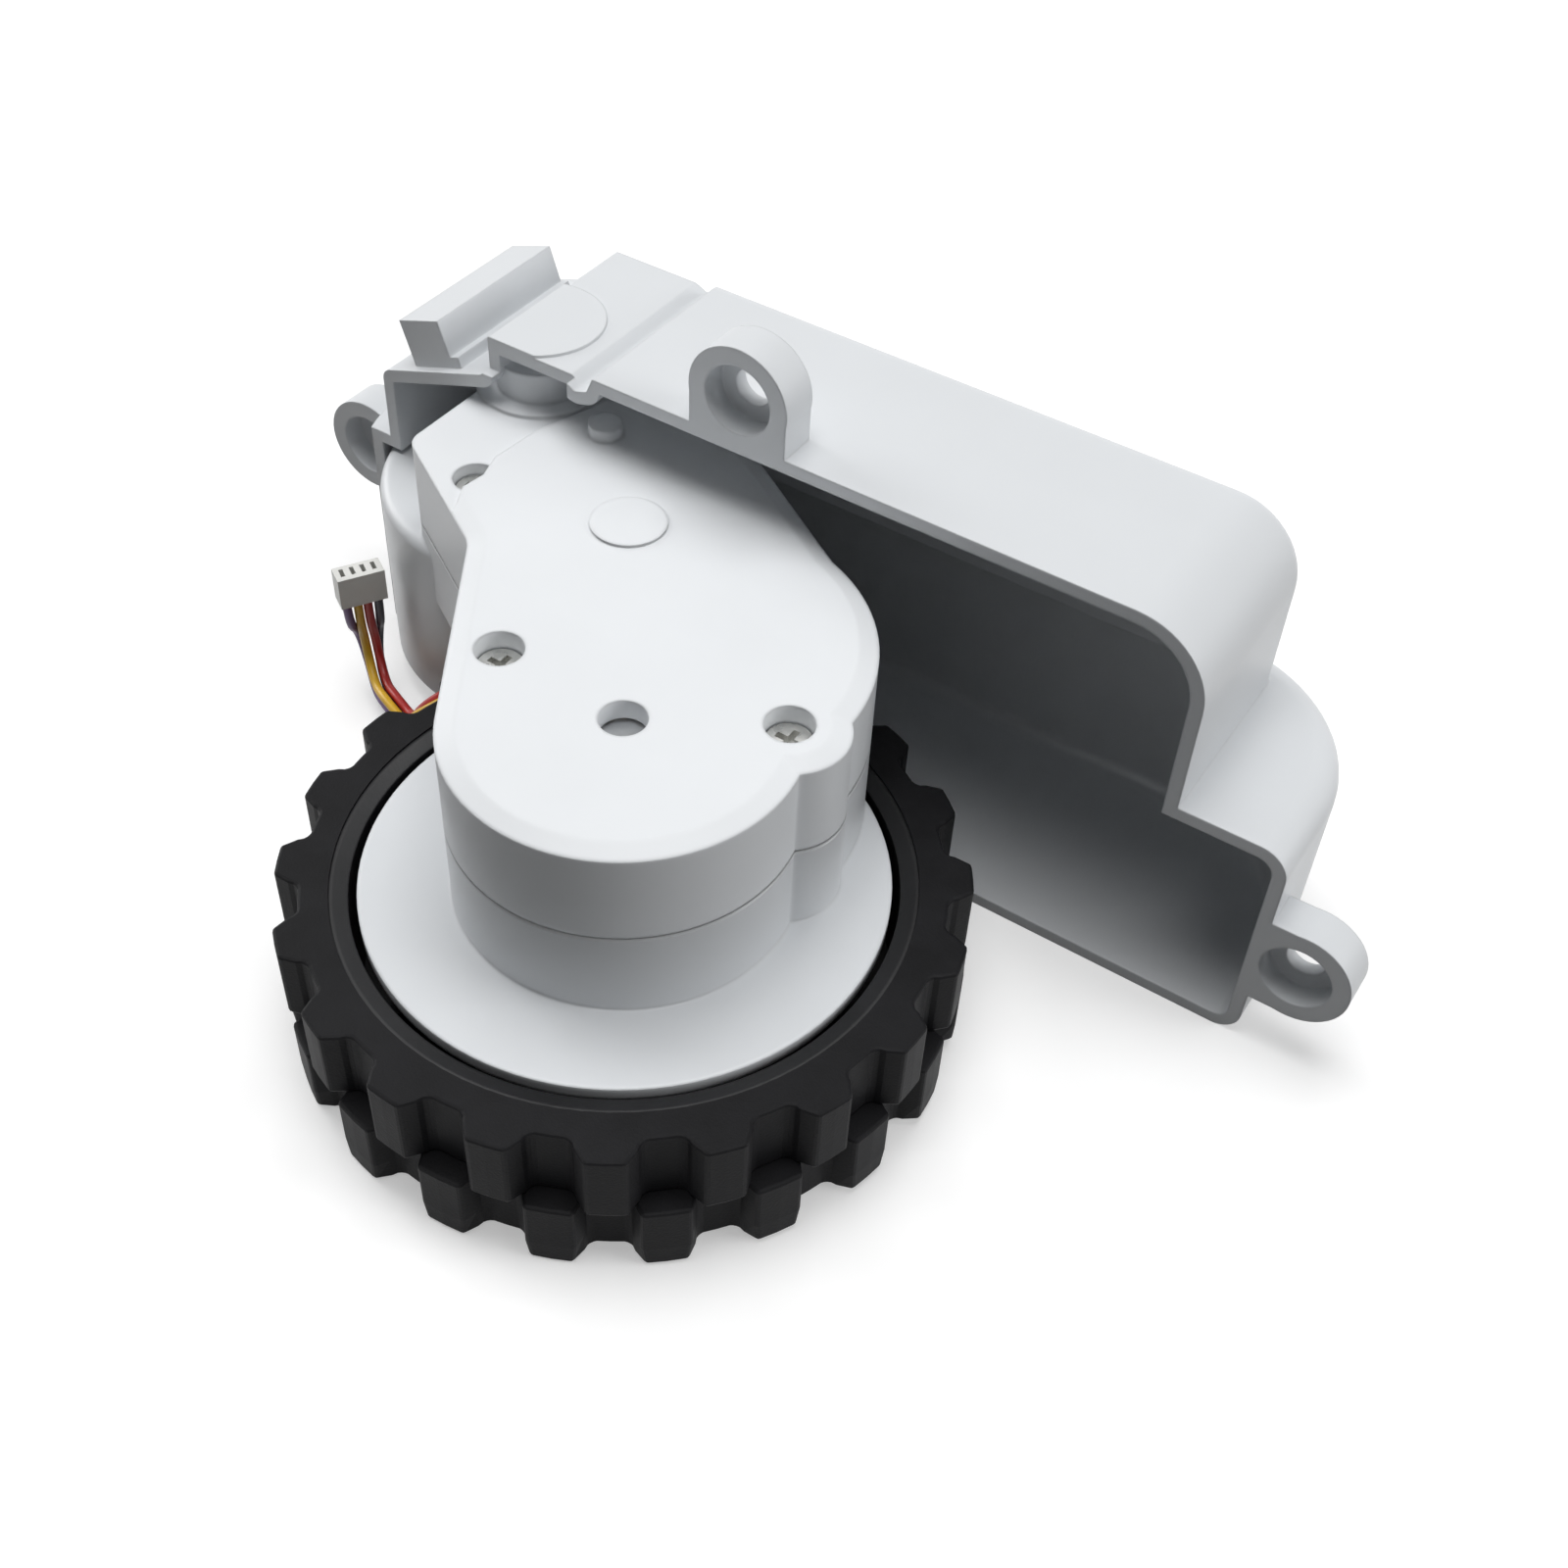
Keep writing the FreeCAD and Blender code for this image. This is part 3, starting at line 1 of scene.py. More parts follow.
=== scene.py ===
# %% [markdown]
# # A robot vacuum's drive wheel module
# The module is a lugged wheel on a geared swing arm, and the arm pivots in an open white
# moulding. Its exact solids come from the CAD model, already in place and to size, so this
# lesson is about what CAD leaves out: finishes, the rubber tread's soft form, loose wires,
# light and the camera. Everything is in metres, in the CAD model's own frame.

# %% Load the frame
import math
import bmesh
import bpy
from mathutils import Matrix, Vector


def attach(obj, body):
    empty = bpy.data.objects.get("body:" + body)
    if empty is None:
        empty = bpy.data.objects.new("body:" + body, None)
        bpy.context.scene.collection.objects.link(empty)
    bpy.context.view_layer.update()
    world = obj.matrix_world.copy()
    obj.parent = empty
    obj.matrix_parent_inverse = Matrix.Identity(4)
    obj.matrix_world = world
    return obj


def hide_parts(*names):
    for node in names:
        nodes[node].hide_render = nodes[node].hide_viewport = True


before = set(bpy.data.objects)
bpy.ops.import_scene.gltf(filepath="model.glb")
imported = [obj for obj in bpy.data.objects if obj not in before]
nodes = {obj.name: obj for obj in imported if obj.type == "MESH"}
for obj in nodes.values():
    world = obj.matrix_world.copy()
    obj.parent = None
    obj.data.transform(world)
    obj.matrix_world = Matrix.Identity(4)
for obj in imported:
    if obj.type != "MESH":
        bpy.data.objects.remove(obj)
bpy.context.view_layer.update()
MM = 0.001

# %% [markdown]
# ## The camera
# The photograph was taken from above and in front of the wheel, with the camera turned a
# few degrees about its own view. A camera can be aimed with a constraint, but a fitted one is
# best given by its three axes: a matrix holds the roll exactly, and nothing moves it later.

# %% Place the camera
CAMERA_AT = Vector((0.07961, -0.10394, 0.16259))
CAMERA_RIGHT = Vector((0.83662, 0.54624, 0.04102))
CAMERA_UP = Vector((-0.41399, 0.58148, 0.70035))
CAMERA_BACK = CAMERA_RIGHT.cross(CAMERA_UP)
FOCAL_LENGTH, SENSOR_WIDTH = 44.53, 36.0   # both in millimetres
NEAREST, FARTHEST = 0.005, 20.0            # the clip distances, in metres
lens = bpy.data.cameras.new("photo_camera")
lens.lens = FOCAL_LENGTH
lens.sensor_width = SENSOR_WIDTH
lens.clip_start = NEAREST
lens.clip_end = FARTHEST
camera = bpy.data.objects.new("photo_camera", lens)
bpy.context.scene.collection.objects.link(camera)
axes = Matrix((CAMERA_RIGHT, CAMERA_UP, CAMERA_BACK)).transposed()
camera.matrix_world = Matrix.Translation(CAMERA_AT) @ axes.to_4x4()
bpy.context.scene.camera = camera
print("camera", round(CAMERA_AT.length / MM), "mm from the origin, lens", lens.lens)

# %% [markdown]
# ## The wires' routes
# Four thin wires leave the motor's drum through a rubber grommet, bend under the drum's edge
# and climb into a small white plug. Each is one smooth line through a few control points. A
# NURBS spline suits a limp wire, because it eases past its points and never kinks at them.

# %% Draw the four wires
WIRE_DIAMETER = 1.1 * MM
WIRE_ROUTES = {
    "purple": [(-35.0, 21.3, 10.0), (-33.9, 17.3, 10.0), (-37.5, 11.5, 7.8), (-42.3, 13.7, 1.3),
               (-47.3, 15.5, 1.6), (-50.7, 17.4, 0.6), (-53.8, 19.7, 2.8), (-55.1, 20.0, 6.7),
               (-53.8, 17.6, 9.7), (-53.8, 17.6, 13.4)],
    "black": [(-36.2, 21.0, 10.0), (-35.1, 17.6, 10.0), (-37.9, 12.6, 7.8), (-41.7, 14.8, 1.3),
              (-46.8, 16.7, 1.6), (-50.0, 18.5, 0.6), (-53.0, 20.7, 2.8), (-53.4, 21.8, 6.7),
              (-51.8, 20.8, 9.7), (-51.8, 20.8, 13.4)],
    "yellow": [(-35.0, 21.3, 11.2), (-34.0, 17.0, 11.2), (-38.3, 11.2, 8.6), (-42.9, 14.0, 2.3),
               (-47.4, 15.5, 2.8), (-50.6, 17.3, 1.8), (-53.0, 19.1, 3.6), (-53.8, 19.6, 6.5),
               (-53.1, 18.7, 9.7), (-53.1, 18.7, 13.4)],
    "red": [(-36.2, 21.0, 11.2), (-35.2, 17.3, 11.2), (-38.7, 12.3, 8.6), (-42.3, 15.1, 2.3),
            (-46.9, 16.7, 2.8), (-49.9, 18.4, 1.8), (-52.2, 20.1, 3.6), (-52.9, 20.5, 6.5),
            (-52.5, 19.7, 9.7), (-52.5, 19.7, 13.4)],
}
wires = {}
for colour, route in WIRE_ROUTES.items():
    curve = bpy.data.curves.new("wire_%s_line" % colour, "CURVE")
    curve.dimensions = "3D"
    curve.bevel_depth = WIRE_DIAMETER / 2
    curve.bevel_resolution = 4
    curve.resolution_u = 10
    curve.use_fill_caps = True
    spline = curve.splines.new("NURBS")
    spline.points.add(len(route) - 1)
    for point, (x, y, z) in zip(spline.points, route):
        point.co = (x * MM, y * MM, z * MM, 1.0)
    spline.order_u = 3
    spline.use_endpoint_u = True
    wire = bpy.data.objects.new("loose_wire_%s" % colour, curve)
    bpy.context.scene.collection.objects.link(wire)
    wires[colour] = wire
    print("wire", colour, "points", len(route))

# %% [markdown]
# ## One recipe for moulded and turned finishes
# No real plastic or metal is one flat colour: moulding leaves faint clouds in its tone and
# gloss, and a fine grain on its skin. Painted images could show that, but noise needs no
# files and has no seams. One helper makes both, and each finish sets its own scale. The
# noise reads Object coordinates, so that the pattern stays put on a piece that moves.

# %% The finish helper
def finish(name, tone, rough, cloud=0.02, cloud_size=6.0, grain=0.02, grain_size=0.4,
           metallic=0.0, coat=0.0, shine=0.5, stretch=(1.0, 1.0, 1.0), soft_edge=0.0):
    """A finish with clouded tone, uneven gloss and a fine grain. Sizes are in millimetres."""
    made = bpy.data.materials.new(name)
    made.use_nodes = True
    tree = made.node_tree
    tree.nodes.clear()
    out = tree.nodes.new("ShaderNodeOutputMaterial")
    shader = tree.nodes.new("ShaderNodeBsdfPrincipled")
    shader.inputs["Metallic"].default_value = metallic
    shader.inputs["Coat Weight"].default_value = coat
    shader.inputs["Specular IOR Level"].default_value = shine
    tree.links.new(shader.outputs["BSDF"], out.inputs["Surface"])
    place = tree.nodes.new("ShaderNodeTexCoord")
    mapping = tree.nodes.new("ShaderNodeMapping")
    mapping.inputs["Scale"].default_value = stretch
    tree.links.new(place.outputs["Object"], mapping.inputs["Vector"])

    clouds = tree.nodes.new("ShaderNodeTexNoise")
    clouds.inputs["Scale"].default_value = 1.0 / (cloud_size * MM)
    clouds.inputs["Detail"].default_value = 3.0
    tree.links.new(mapping.outputs["Vector"], clouds.inputs["Vector"])
    tones = tree.nodes.new("ShaderNodeValToRGB")
    tones.color_ramp.elements[0].position = 0.3
    tones.color_ramp.elements[1].position = 0.7
    tones.color_ramp.elements[0].color = [c * (1 - cloud) for c in tone] + [1]
    tones.color_ramp.elements[1].color = [min(1.0, c * (1 + cloud)) for c in tone] + [1]
    tree.links.new(clouds.outputs["Fac"], tones.inputs["Fac"])
    tree.links.new(tones.outputs["Color"], shader.inputs["Base Color"])
    gloss = tree.nodes.new("ShaderNodeMapRange")
    gloss.inputs["To Min"].default_value = rough * 0.88
    gloss.inputs["To Max"].default_value = rough * 1.12
    tree.links.new(clouds.outputs["Fac"], gloss.inputs["Value"])
    tree.links.new(gloss.outputs["Result"], shader.inputs["Roughness"])

    fine = tree.nodes.new("ShaderNodeTexNoise")
    fine.inputs["Scale"].default_value = 1.0 / (grain_size * MM)
    fine.inputs["Detail"].default_value = 4.0
    tree.links.new(mapping.outputs["Vector"], fine.inputs["Vector"])
    bump = tree.nodes.new("ShaderNodeBump")
    bump.inputs["Strength"].default_value = 1.0
    bump.inputs["Distance"].default_value = grain * MM
    tree.links.new(fine.outputs["Fac"], bump.inputs["Height"])
    if soft_edge:
        edge = tree.nodes.new("ShaderNodeBevel")
        edge.samples = 6
        edge.inputs["Radius"].default_value = soft_edge * MM
        tree.links.new(edge.outputs["Normal"], bump.inputs["Normal"])
    tree.links.new(bump.outputs["Normal"], shader.inputs["Normal"])
    made.diffuse_color = [*tone, 1]
    return made


def dress(node, made):
    """Gives a CAD node its finish, in the slots that it has."""
    piece = nodes[node]
    if not piece.material_slots:
        piece.data.materials.append(made)
    for slot in piece.material_slots:
        slot.material = made

# %% [markdown]
# ## White housing plastic
# The housing, gearbox and plug are white ABS with a satin skin. Its edges are rounded by a
# few tenths of a millimetre, and each catches a thin line of light. Real bevels on every edge
# would be heavy, so a Bevel node bends the shading there instead. The gearbox's cover is the
# brightest piece. The housing and the gearbox's base are the same white, darkened in their
# colour as painted shade for the weaker light that falls on them.

# %% White plastics
WHITE = (0.800, 0.820, 0.840)
# Painted shade: the housing's and the base's white is the cover's white plastic, darkened in its
# colour for the weaker light on them.
PAINTED_SHADE_WHITE = (0.680, 0.700, 0.720)
housing_white = finish("housing_white", PAINTED_SHADE_WHITE, 0.36, cloud=0.012, cloud_size=14.0,
                       grain=0.006, grain_size=0.5, soft_edge=0.40)
plug_white = finish("plug_white", (0.74, 0.74, 0.71), 0.42, cloud=0.02, cloud_size=2.0,
                    grain=0.006, grain_size=0.2, soft_edge=0.10)
cap_white = finish("cap_white", (0.76, 0.77, 0.78), 0.40, cloud=0.015, cloud_size=8.0,
                   grain=0.008, grain_size=0.5, soft_edge=0.20)
print("whites:", housing_white.name, plug_white.name, cap_white.name)

# %% [markdown]
# ## The seam round the gearbox
# The gearbox is a base and a cover, and a fine groove runs round it where they meet. Its
# lower lip is wide and its upper lip steep. The CAD halves touch face to face, so the groove
# is height for the bump, with one slope on each side of the seam. It reads as a thin dark
# line here: a bump can't catch a light that stands behind the wall, as a cut groove would.
# The gearbox's own edges are rounder than the housing's, and the cover is less glossy than
# the base, so that it doesn't wash out under the softbox when it is seen from above.

# %% Gearbox plastic with its seam
COVER_SHINE, BASE_SHINE = 0.22, 0.5
SEAM_HEIGHT = 27.0 * MM
LOWER_LIP = 0.50 * MM
UPPER_LIP = 0.06 * MM
SEAM_DEPTH = 0.40 * MM


def seamed(name, tone, shine):
    """A white gearbox plastic with the seam's groove cut into its shading."""
    made = finish(name, tone, 0.36, cloud=0.012, cloud_size=14.0,
                  grain=0.006, grain_size=0.5, shine=shine, soft_edge=0.70)
    tree = made.node_tree
    shader = next(n for n in tree.nodes if n.type == "BSDF_PRINCIPLED")
    grain_bump = next(n for n in tree.nodes if n.type == "BUMP")
    place = tree.nodes.new("ShaderNodeTexCoord")
    parts = tree.nodes.new("ShaderNodeSeparateXYZ")
    tree.links.new(place.outputs["Object"], parts.inputs["Vector"])
    deepest = tree.nodes.new("ShaderNodeMath")
    deepest.operation = "MAXIMUM"
    for socket, reach in enumerate((-LOWER_LIP, UPPER_LIP)):
        slope = tree.nodes.new("ShaderNodeMapRange")
        slope.inputs["From Min"].default_value = SEAM_HEIGHT
        slope.inputs["From Max"].default_value = SEAM_HEIGHT + reach
        tree.links.new(parts.outputs["Z"], slope.inputs["Value"])
        tree.links.new(slope.outputs["Result"], deepest.inputs[socket])
    dip = tree.nodes.new("ShaderNodeBump")
    dip.inputs["Strength"].default_value = 1.0
    dip.inputs["Distance"].default_value = SEAM_DEPTH
    tree.links.new(deepest.outputs["Value"], dip.inputs["Height"])
    tree.links.new(grain_bump.outputs["Normal"], dip.inputs["Normal"])
    tree.links.new(dip.outputs["Normal"], shader.inputs["Normal"])
    return made


cover_white = seamed("cover_white", WHITE, COVER_SHINE)
# The base wears the darkened white, which is painted shade.
base_white = seamed("base_white", PAINTED_SHADE_WHITE, BASE_SHINE)
print("seam at", SEAM_HEIGHT / MM, "mm, lips", LOWER_LIP / MM, "and", UPPER_LIP / MM, "mm")

# %% [markdown]
# ## Rubber, nylon and metal
# The tyre is dull black rubber with a soft bloom, and the hub is a slightly glossier black
# nylon. Screws are bright zinc, shafts and pins ground steel, and the pieces inside the
# gearbox are acetal, brass and bronze. Turned metal gets its grain stretched along one axis.

# %% Dark and metal finishes
rubber = finish("tread_rubber", (0.008, 0.008, 0.009), 0.52, cloud=0.25, cloud_size=5.0,
                grain=0.03, grain_size=0.25, shine=0.10)
nylon = finish("hub_nylon", (0.009, 0.009, 0.010), 0.36, cloud=0.15, cloud_size=6.0,
               grain=0.012, grain_size=0.3, shine=0.35, soft_edge=0.25)
zinc = finish("zinc_plate", (0.62, 0.62, 0.60), 0.28, cloud=0.10, cloud_size=1.2,
              grain=0.012, grain_size=0.12, metallic=1.0)
steel = finish("ground_steel", (0.56, 0.57, 0.58), 0.30, cloud=0.06, cloud_size=1.0,
               grain=0.006, grain_size=0.2, metallic=1.0, stretch=(1, 1, 0.08))
spring_steel = finish("spring_steel", (0.42, 0.42, 0.43), 0.34, cloud=0.10, cloud_size=0.8,
                      grain=0.006, grain_size=0.15, metallic=1.0)
acetal = finish("gear_acetal", (0.76, 0.74, 0.68), 0.45, cloud=0.03, cloud_size=3.0,
                grain=0.008, grain_size=0.3)
bronze = finish("bearing_bronze", (0.46, 0.30, 0.14), 0.42, cloud=0.15, cloud_size=0.8,
                grain=0.02, grain_size=0.12, metallic=1.0)
brass = finish("pinion_brass", (0.66, 0.47, 0.18), 0.30, cloud=0.08, cloud_size=1.0,
               grain=0.006, grain_size=0.12, metallic=1.0)
board = finish("board_green", (0.02, 0.13, 0.05), 0.36, cloud=0.25, cloud_size=1.5,
               grain=0.02, grain_size=0.3, coat=0.3)
motor_can = finish("motor_can", (0.55, 0.55, 0.54), 0.36, cloud=0.06, cloud_size=3.0,
                   grain=0.008, grain_size=0.2, metallic=1.0)

# %% [markdown]
# ## Which piece wears which finish
# One table names each CAD node's finish, because a spare part's pieces are each moulded,
# turned or pressed from one material. Setting them by hand would be easy to get out of step.

# %% Finishes for every CAD node
NODE_FINISH = {
    "housing": housing_white, "gearbox_base": base_white, "gearbox_cover": cover_white,
    "drum_cap": cap_white, "wire_plug": plug_white, "wire_grommet": rubber, "tyre": rubber,
    "wheel_hub": nylon, "case_screws": zinc, "hub_screw": zinc, "hub_washer": zinc,
    "output_shaft": steel, "gear_axles": steel, "motor_shaft": steel,
    "upper_pivot_pin": steel, "lower_pivot_pin": steel, "return_spring": spring_steel,
    "output_gear": acetal, "third_gear": acetal, "second_gear": acetal, "first_gear": acetal,
    "motor_pinion": brass, "lower_shaft_bearing": bronze, "upper_shaft_bearing": bronze,
    "encoder_board": board, "motor": motor_can,
}
for node, made in NODE_FINISH.items():
    dress(node, made)
print("dressed", len(NODE_FINISH), "of", len(nodes), "nodes; the rest are the four wires")

# %% [markdown]
# ## Wires and plug
# Each wire has a coloured PVC coat. The wires ride on the swing arm with their plug.

WIRE_TONES = {"purple": (0.11, 0.04, 0.17), "black": (0.015, 0.015, 0.03),
              "yellow": (0.74, 0.44, 0.02), "red": (0.42, 0.015, 0.012)}
for colour, wire in wires.items():
    coat = finish("pvc_%s" % colour, WIRE_TONES[colour], 0.38, cloud=0.10, cloud_size=3.0,
                  grain=0.006, grain_size=0.15)
    dress("wire_" + colour, coat)
    wire.data.materials.append(coat)
    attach(wire, "swing_arm")
    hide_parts("wire_" + colour)

# %% [markdown]
# ## The tread's section
# Two rows of twenty lugs stand half a pitch apart. Each lug has steep flanks, and the rubber
# curves into the carcass at its root. The lower row's lugs are wider, with long chamfers on
# their lower corners, so that the wheel can climb. One sector of the section is drawn flat
# and spun into a ring. Modelling one lug and copying it would leave seams between copies.

# %% One flat sector of the tread
LUGS = 20
PITCH = math.radians(360 / LUGS)
HALF = 180 / LUGS                          # half a pitch, in degrees
WELD = 0.005 * MM
BORE, ROOT, TIP = 29.5 * MM, 32.45 * MM, 34.98 * MM


def sector(tip_half):
    """Half pitch to half pitch over one lug, as bearings in degrees and radii."""
    rise = [(HALF, ROOT), (6.7, ROOT), (5.9, ROOT + 0.14 * MM), (5.3, ROOT + 0.50 * MM),
            (4.9, ROOT + 1.05 * MM), (tip_half, TIP)]
    left = [(-bearing, radius) for bearing, radius in rise]
    return left + [(0.0, TIP)] + rise[::-1]


def at(degrees, radius):
    angle = math.radians(degrees)
    return Vector((radius * math.cos(angle), radius * math.sin(angle), 0.0))


def flat_ring(bm, tip_half):
    """One sector as a flat face, spun round into the whole ring."""
    outer = [bm.verts.new(at(a, r)) for a, r in sector(tip_half)]
    inner = [bm.verts.new(at(a, BORE)) for a in (HALF, HALF / 2, 0.0, -HALF / 2, -HALF)]
    face = bm.faces.new(outer + inner)
    bmesh.ops.spin(bm, geom=[face, *face.edges, *face.verts], cent=(0, 0, 0),
                   axis=(0, 0, 1), angle=PITCH * (LUGS - 1), steps=LUGS - 1,
                   use_duplicate=True)
    bmesh.ops.remove_doubles(bm, verts=bm.verts, dist=WELD)


# %% [markdown]
# ## From a section to a row
# The ring is raised into a row, which keeps every lug alike. The lower row is raised in two
# steps, and its lowest corners are then drawn in to make the chamfers. The edges are
# bevelled, because rubber never comes out of a mould with a sharp edge. A modifier could
# bevel them too, but an operator gives the final mesh, whose edges can be counted here.

# %% Raise a row and soften it
ROW = 8.575 * MM
CHAMFER = 2.7 * MM
FOOT_SHARE = 0.86                          # how much of a lug's width its foot keeps
FOOT_RADIUS = TIP - 0.12 * MM
LUG_RADIUS = 34 * MM                       # corners further out than this are a lug's
SHARP = math.radians(28)
EDGE_WIDTH = 0.32 * MM
UPPER_PHASE, LOWER_PHASE = -56.8, -47.8    # bearings of a lug in each row, in degrees
UPPER_HALF, LOWER_HALF = 3.1, 3.8          # half a lug's width at its tip, in degrees


def raised(bm, faces, height):
    """Raises flat faces by a height and gives back the new top faces."""
    made = bmesh.ops.extrude_face_region(bm, geom=faces)["geom"]
    tops = [g for g in made if isinstance(g, bmesh.types.BMVert)]
    bmesh.ops.translate(bm, verts=tops, vec=(0, 0, height))
    return [g for g in made if isinstance(g, bmesh.types.BMFace)]


def drawn_in(bm):
    """Draws the lowest corners of each lug towards its middle."""
    foot = [v for v in bm.verts if v.co.z < 0.01 * MM and v.co.xy.length > LUG_RADIUS]
    for v in foot:
        lug = round(math.atan2(v.co.y, v.co.x) / PITCH) * PITCH
        lean = math.atan2(v.co.y, v.co.x) - lug
        lean = (lean + math.pi) % (2 * math.pi) - math.pi
        turn = Matrix.Rotation(lug + FOOT_SHARE * lean, 3, "Z")
        v.co = turn @ Vector((FOOT_RADIUS, 0, 0))


def tread_row(name, phase, low, tip_half, chamfered):
    """One closed row of lugs, from a height up, as a piece that rides on the wheel."""
    bm = bmesh.new()
    flat_ring(bm, tip_half)
    if chamfered:
        level = raised(bm, bm.faces[:], CHAMFER)
        raised(bm, level, ROW - CHAMFER)
        bmesh.ops.delete(bm, geom=[f for f in level if f.is_valid], context="FACES")
        drawn_in(bm)
    else:
        raised(bm, bm.faces[:], ROW)
    bmesh.ops.recalc_face_normals(bm, faces=bm.faces)
    sharp = [e for e in bm.edges if len(e.link_faces) == 2
             and e.calc_face_angle(0.0) > SHARP
             and min(v.co.xy.length for v in e.verts) > BORE + 0.5 * MM]
    bmesh.ops.bevel(bm, geom=sharp, offset=EDGE_WIDTH, offset_type="OFFSET", segments=2,
                    profile=0.5, affect="EDGES", clamp_overlap=True, material=-1)
    bmesh.ops.rotate(bm, verts=bm.verts, cent=(0, 0, 0),
                     matrix=Matrix.Rotation(math.radians(phase), 3, "Z"))
    bmesh.ops.translate(bm, verts=bm.verts, vec=(0, 0, low))
    bmesh.ops.recalc_face_normals(bm, faces=bm.faces)
    unpaired = sum(1 for e in bm.edges if len(e.link_faces) != 2)
    volume = bm.calc_volume(signed=True)
    mesh = bpy.data.meshes.new(name)
    bm.to_mesh(mesh)
    bm.free()
    mesh.materials.append(rubber)
    row = bpy.data.objects.new(name, mesh)
    bpy.context.scene.collection.objects.link(row)
    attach(row, "wheel")
    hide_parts("tyre")
    print(name, "faces", len(mesh.polygons), "edges without two faces", unpaired,
          "volume in mm3", round(volume / MM ** 3))


tread_row("tread_upper_row", UPPER_PHASE, ROW, UPPER_HALF, False)
tread_row("tread_lower_row", LOWER_PHASE, 0.0, LOWER_HALF, True)

# %% [markdown]
# ## The paper floor
# The module lies on a sheet of paper. The sheet touches the tyre's edge and the housing's
# floor, so it leans a little in the CAD model's frame. A level one would cut into the housing.

# %% Lay the paper
FLOOR_UP = Vector((0.0, 0.02691, 0.99964))
PAPER_HALF = 0.8
PAPER_AT = Vector((0, -35 * MM, -0.02 * MM))
paper = bpy.data.meshes.new("paper_floor")
bm = bmesh.new()
bmesh.ops.create_grid(bm, x_segments=1, y_segments=1, size=PAPER_HALF)
bmesh.ops.rotate(bm, verts=bm.verts, cent=(0, 0, 0),
                 matrix=FLOOR_UP.to_track_quat("Z", "Y").to_matrix())
bmesh.ops.translate(bm, verts=bm.verts, vec=PAPER_AT)
bm.to_mesh(paper)
bm.free()
floor = bpy.data.objects.new("paper_floor", paper)
bpy.context.scene.collection.objects.link(floor)
lean = math.degrees(FLOOR_UP.angle(Vector((0, 0, 1))))
across = [v.co.x for v in paper.vertices]
print("paper", round(max(across) - min(across), 2), "m wide, leaning", round(lean, 2), "degrees")

# %% [markdown]
# ## White to the camera, pale to the light
# White paper would throw too much light back up into the module's shaded walls. So the paper
# is white as the camera sees it, and much duller in the light that it throws back. It also
# sends the camera a little light of its own, which keeps the ground white and the shadow soft.

# %% The paper's finish
BOUNCED, SEEN, LIFT = 0.17, 0.70, 0.40


def seen_directly(tree):
    """1 for rays that show a surface straight, in a reflection or through glass."""
    path = tree.nodes.new("ShaderNodeLightPath")
    shown = path.outputs["Is Camera Ray"]
    for ray in ("Is Glossy Ray", "Is Transmission Ray"):
        either = tree.nodes.new("ShaderNodeMath")
        either.operation = "MAXIMUM"
        tree.links.new(shown, either.inputs[0])
        tree.links.new(path.outputs[ray], either.inputs[1])
        shown = either.outputs[0]
    return shown


paper_white = bpy.data.materials.new("paper_white")
paper_white.use_nodes = True
tree = paper_white.node_tree
tree.nodes.clear()
out = tree.nodes.new("ShaderNodeOutputMaterial")
diffuse = tree.nodes.new("ShaderNodeBsdfDiffuse")
shown = seen_directly(tree)
paper_tone = tree.nodes.new("ShaderNodeMix")
paper_tone.data_type = "RGBA"
paper_tone.inputs["A"].default_value = (BOUNCED, BOUNCED, BOUNCED, 1)
paper_tone.inputs["B"].default_value = (SEEN, SEEN, SEEN, 1)
tree.links.new(shown, paper_tone.inputs["Factor"])
tree.links.new(paper_tone.outputs["Result"], diffuse.inputs["Color"])
glow = tree.nodes.new("ShaderNodeEmission")
lift = tree.nodes.new("ShaderNodeMath")
lift.operation = "MULTIPLY"
lift.inputs[1].default_value = LIFT
tree.links.new(shown, lift.inputs[0])
tree.links.new(lift.outputs[0], glow.inputs["Strength"])
both = tree.nodes.new("ShaderNodeAddShader")
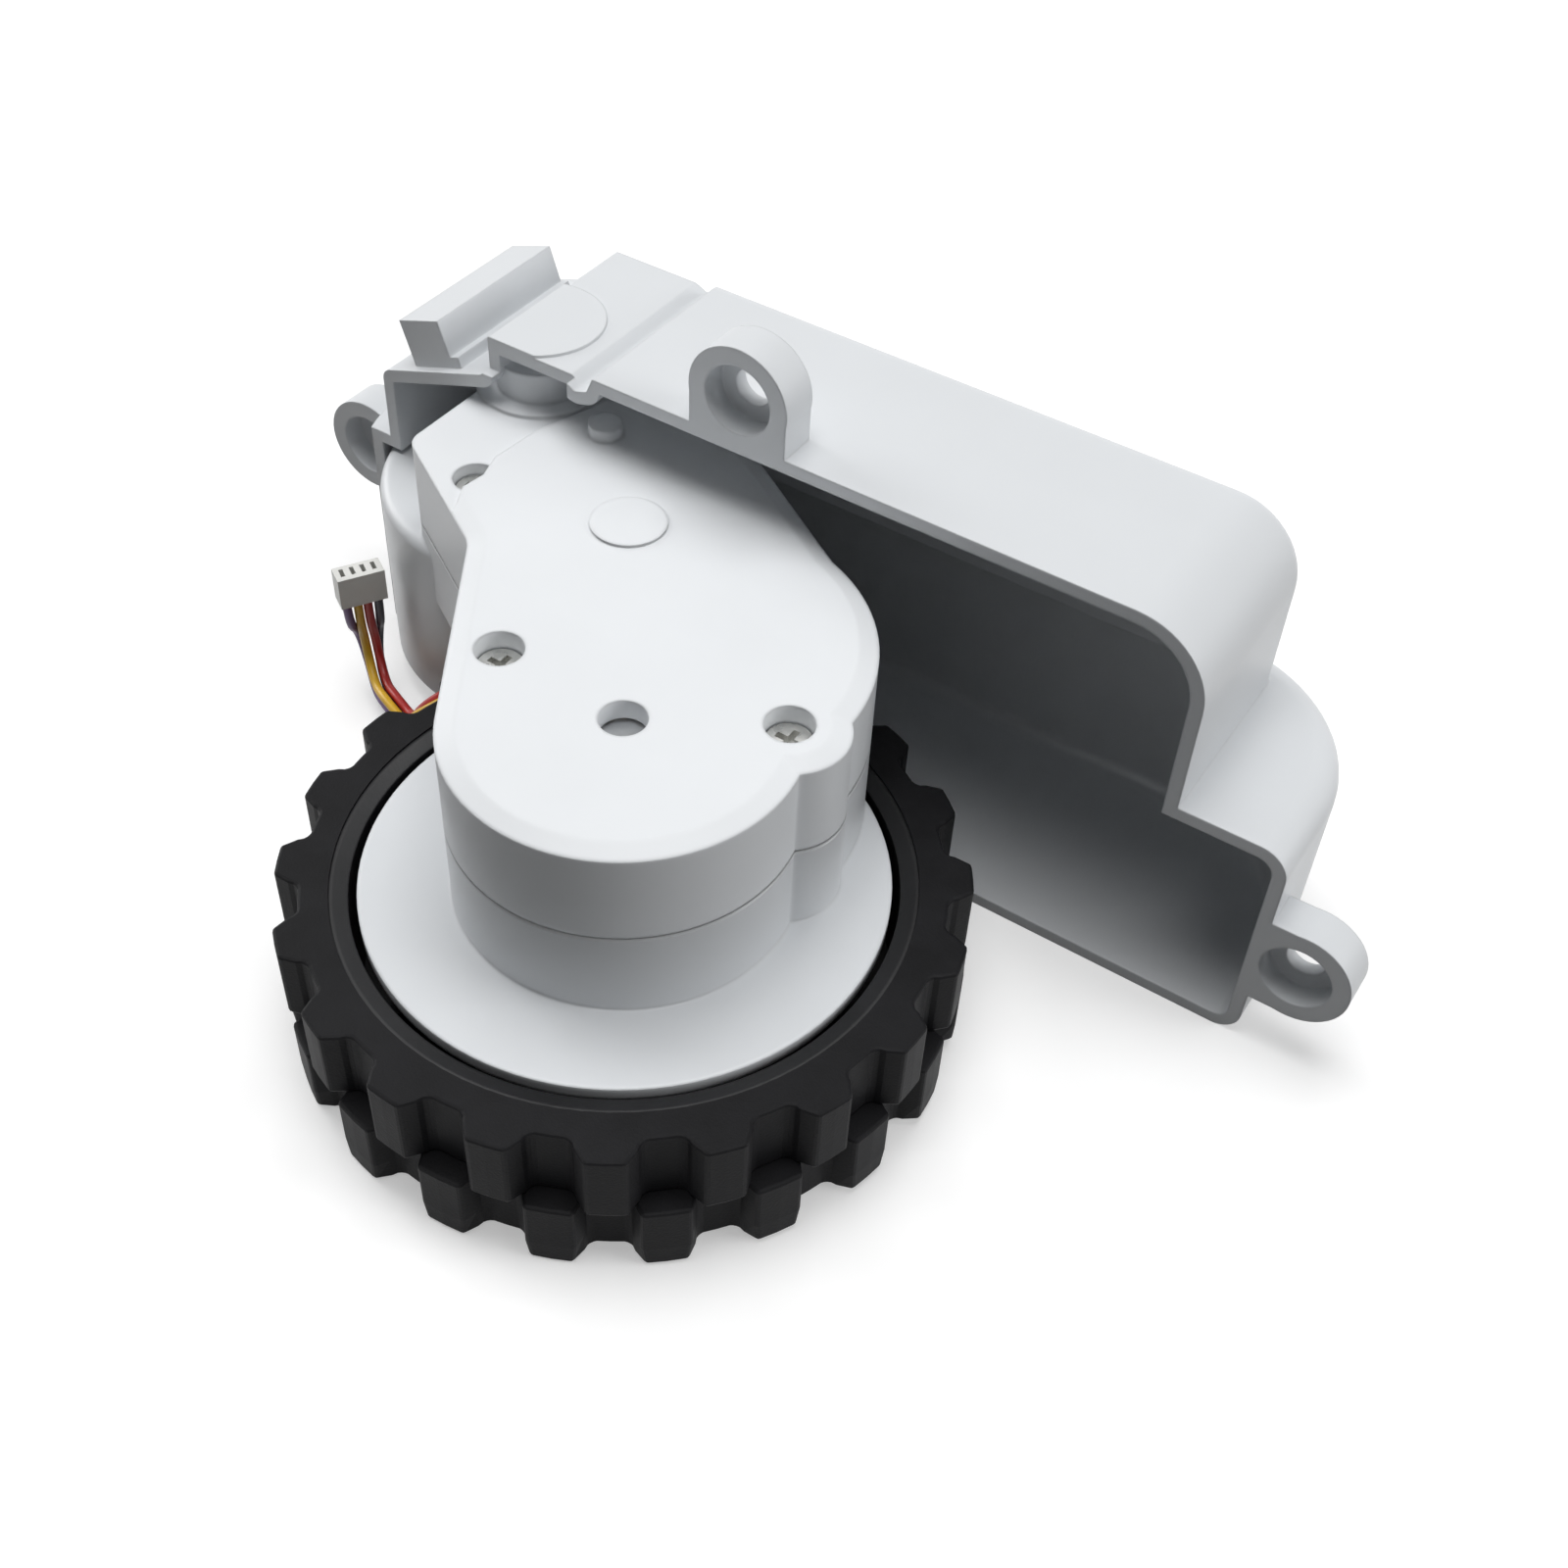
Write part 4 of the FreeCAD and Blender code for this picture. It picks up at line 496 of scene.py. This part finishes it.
tree.links.new(diffuse.outputs[0], both.inputs[0])
tree.links.new(glow.outputs[0], both.inputs[1])
tree.links.new(both.outputs[0], out.inputs["Surface"])
floor.data.materials.append(paper_white)
print("paper seen at", SEEN, "throws back", BOUNCED)

# %% [markdown]
# ## The room's light
# The room is plain white to the camera and in reflections, and almost dark otherwise, so that
# the open housing stays as deep as it is in the photograph. A picture of a studio could light
# it as well, but would be one more file, and its shapes would show in the glossy whites.

# %% A white room
ROOM_LIGHT = 0.06
world = bpy.data.worlds.new("white_room")
bpy.context.scene.world = world
world.use_nodes = True
tree = world.node_tree
tree.nodes.clear()
out = tree.nodes.new("ShaderNodeOutputWorld")
sky = tree.nodes.new("ShaderNodeBackground")
level = tree.nodes.new("ShaderNodeMapRange")
level.inputs["To Min"].default_value = ROOM_LIGHT
level.inputs["To Max"].default_value = 1.0
tree.links.new(seen_directly(tree), level.inputs["Value"])
tree.links.new(level.outputs["Result"], sky.inputs["Strength"])
sky.inputs["Color"].default_value = (1, 1, 1, 1)
tree.links.new(sky.outputs[0], out.inputs["Surface"])
print("room's light", ROOM_LIGHT)

# %% [markdown]
# ## The softboxes
# The light in the photograph comes from a softbox overhead, with weaker ones at the sides.
# So the tops are bright, the front walls stand in shade and the open housing is darkest.
# Small lamps or a sun would give hard shadow edges, which the photograph doesn't have.

# %% Hang the softboxes
def softbox(name, place, size, power):
    """A square area light that faces the origin."""
    light = bpy.data.lights.new(name, "AREA")
    light.shape = "SQUARE"
    light.size = size
    light.energy = power
    lamp = bpy.data.objects.new(name, light)
    bpy.context.scene.collection.objects.link(lamp)
    lamp.location = place
    lamp.rotation_mode = "QUATERNION"
    lamp.rotation_quaternion = Vector(place).to_track_quat("Z", "Y")


softbox("key_softbox", (-0.05, 0.06, 0.88), 0.60, 6.2)
softbox("right_softbox", (0.95, 0.38, 0.42), 0.50, 4.4)
softbox("left_softbox", (-0.95, 0.12, 0.40), 0.50, 3.8)
bpy.context.scene.view_settings.view_transform = "Standard"
print("lights: key, right and left")
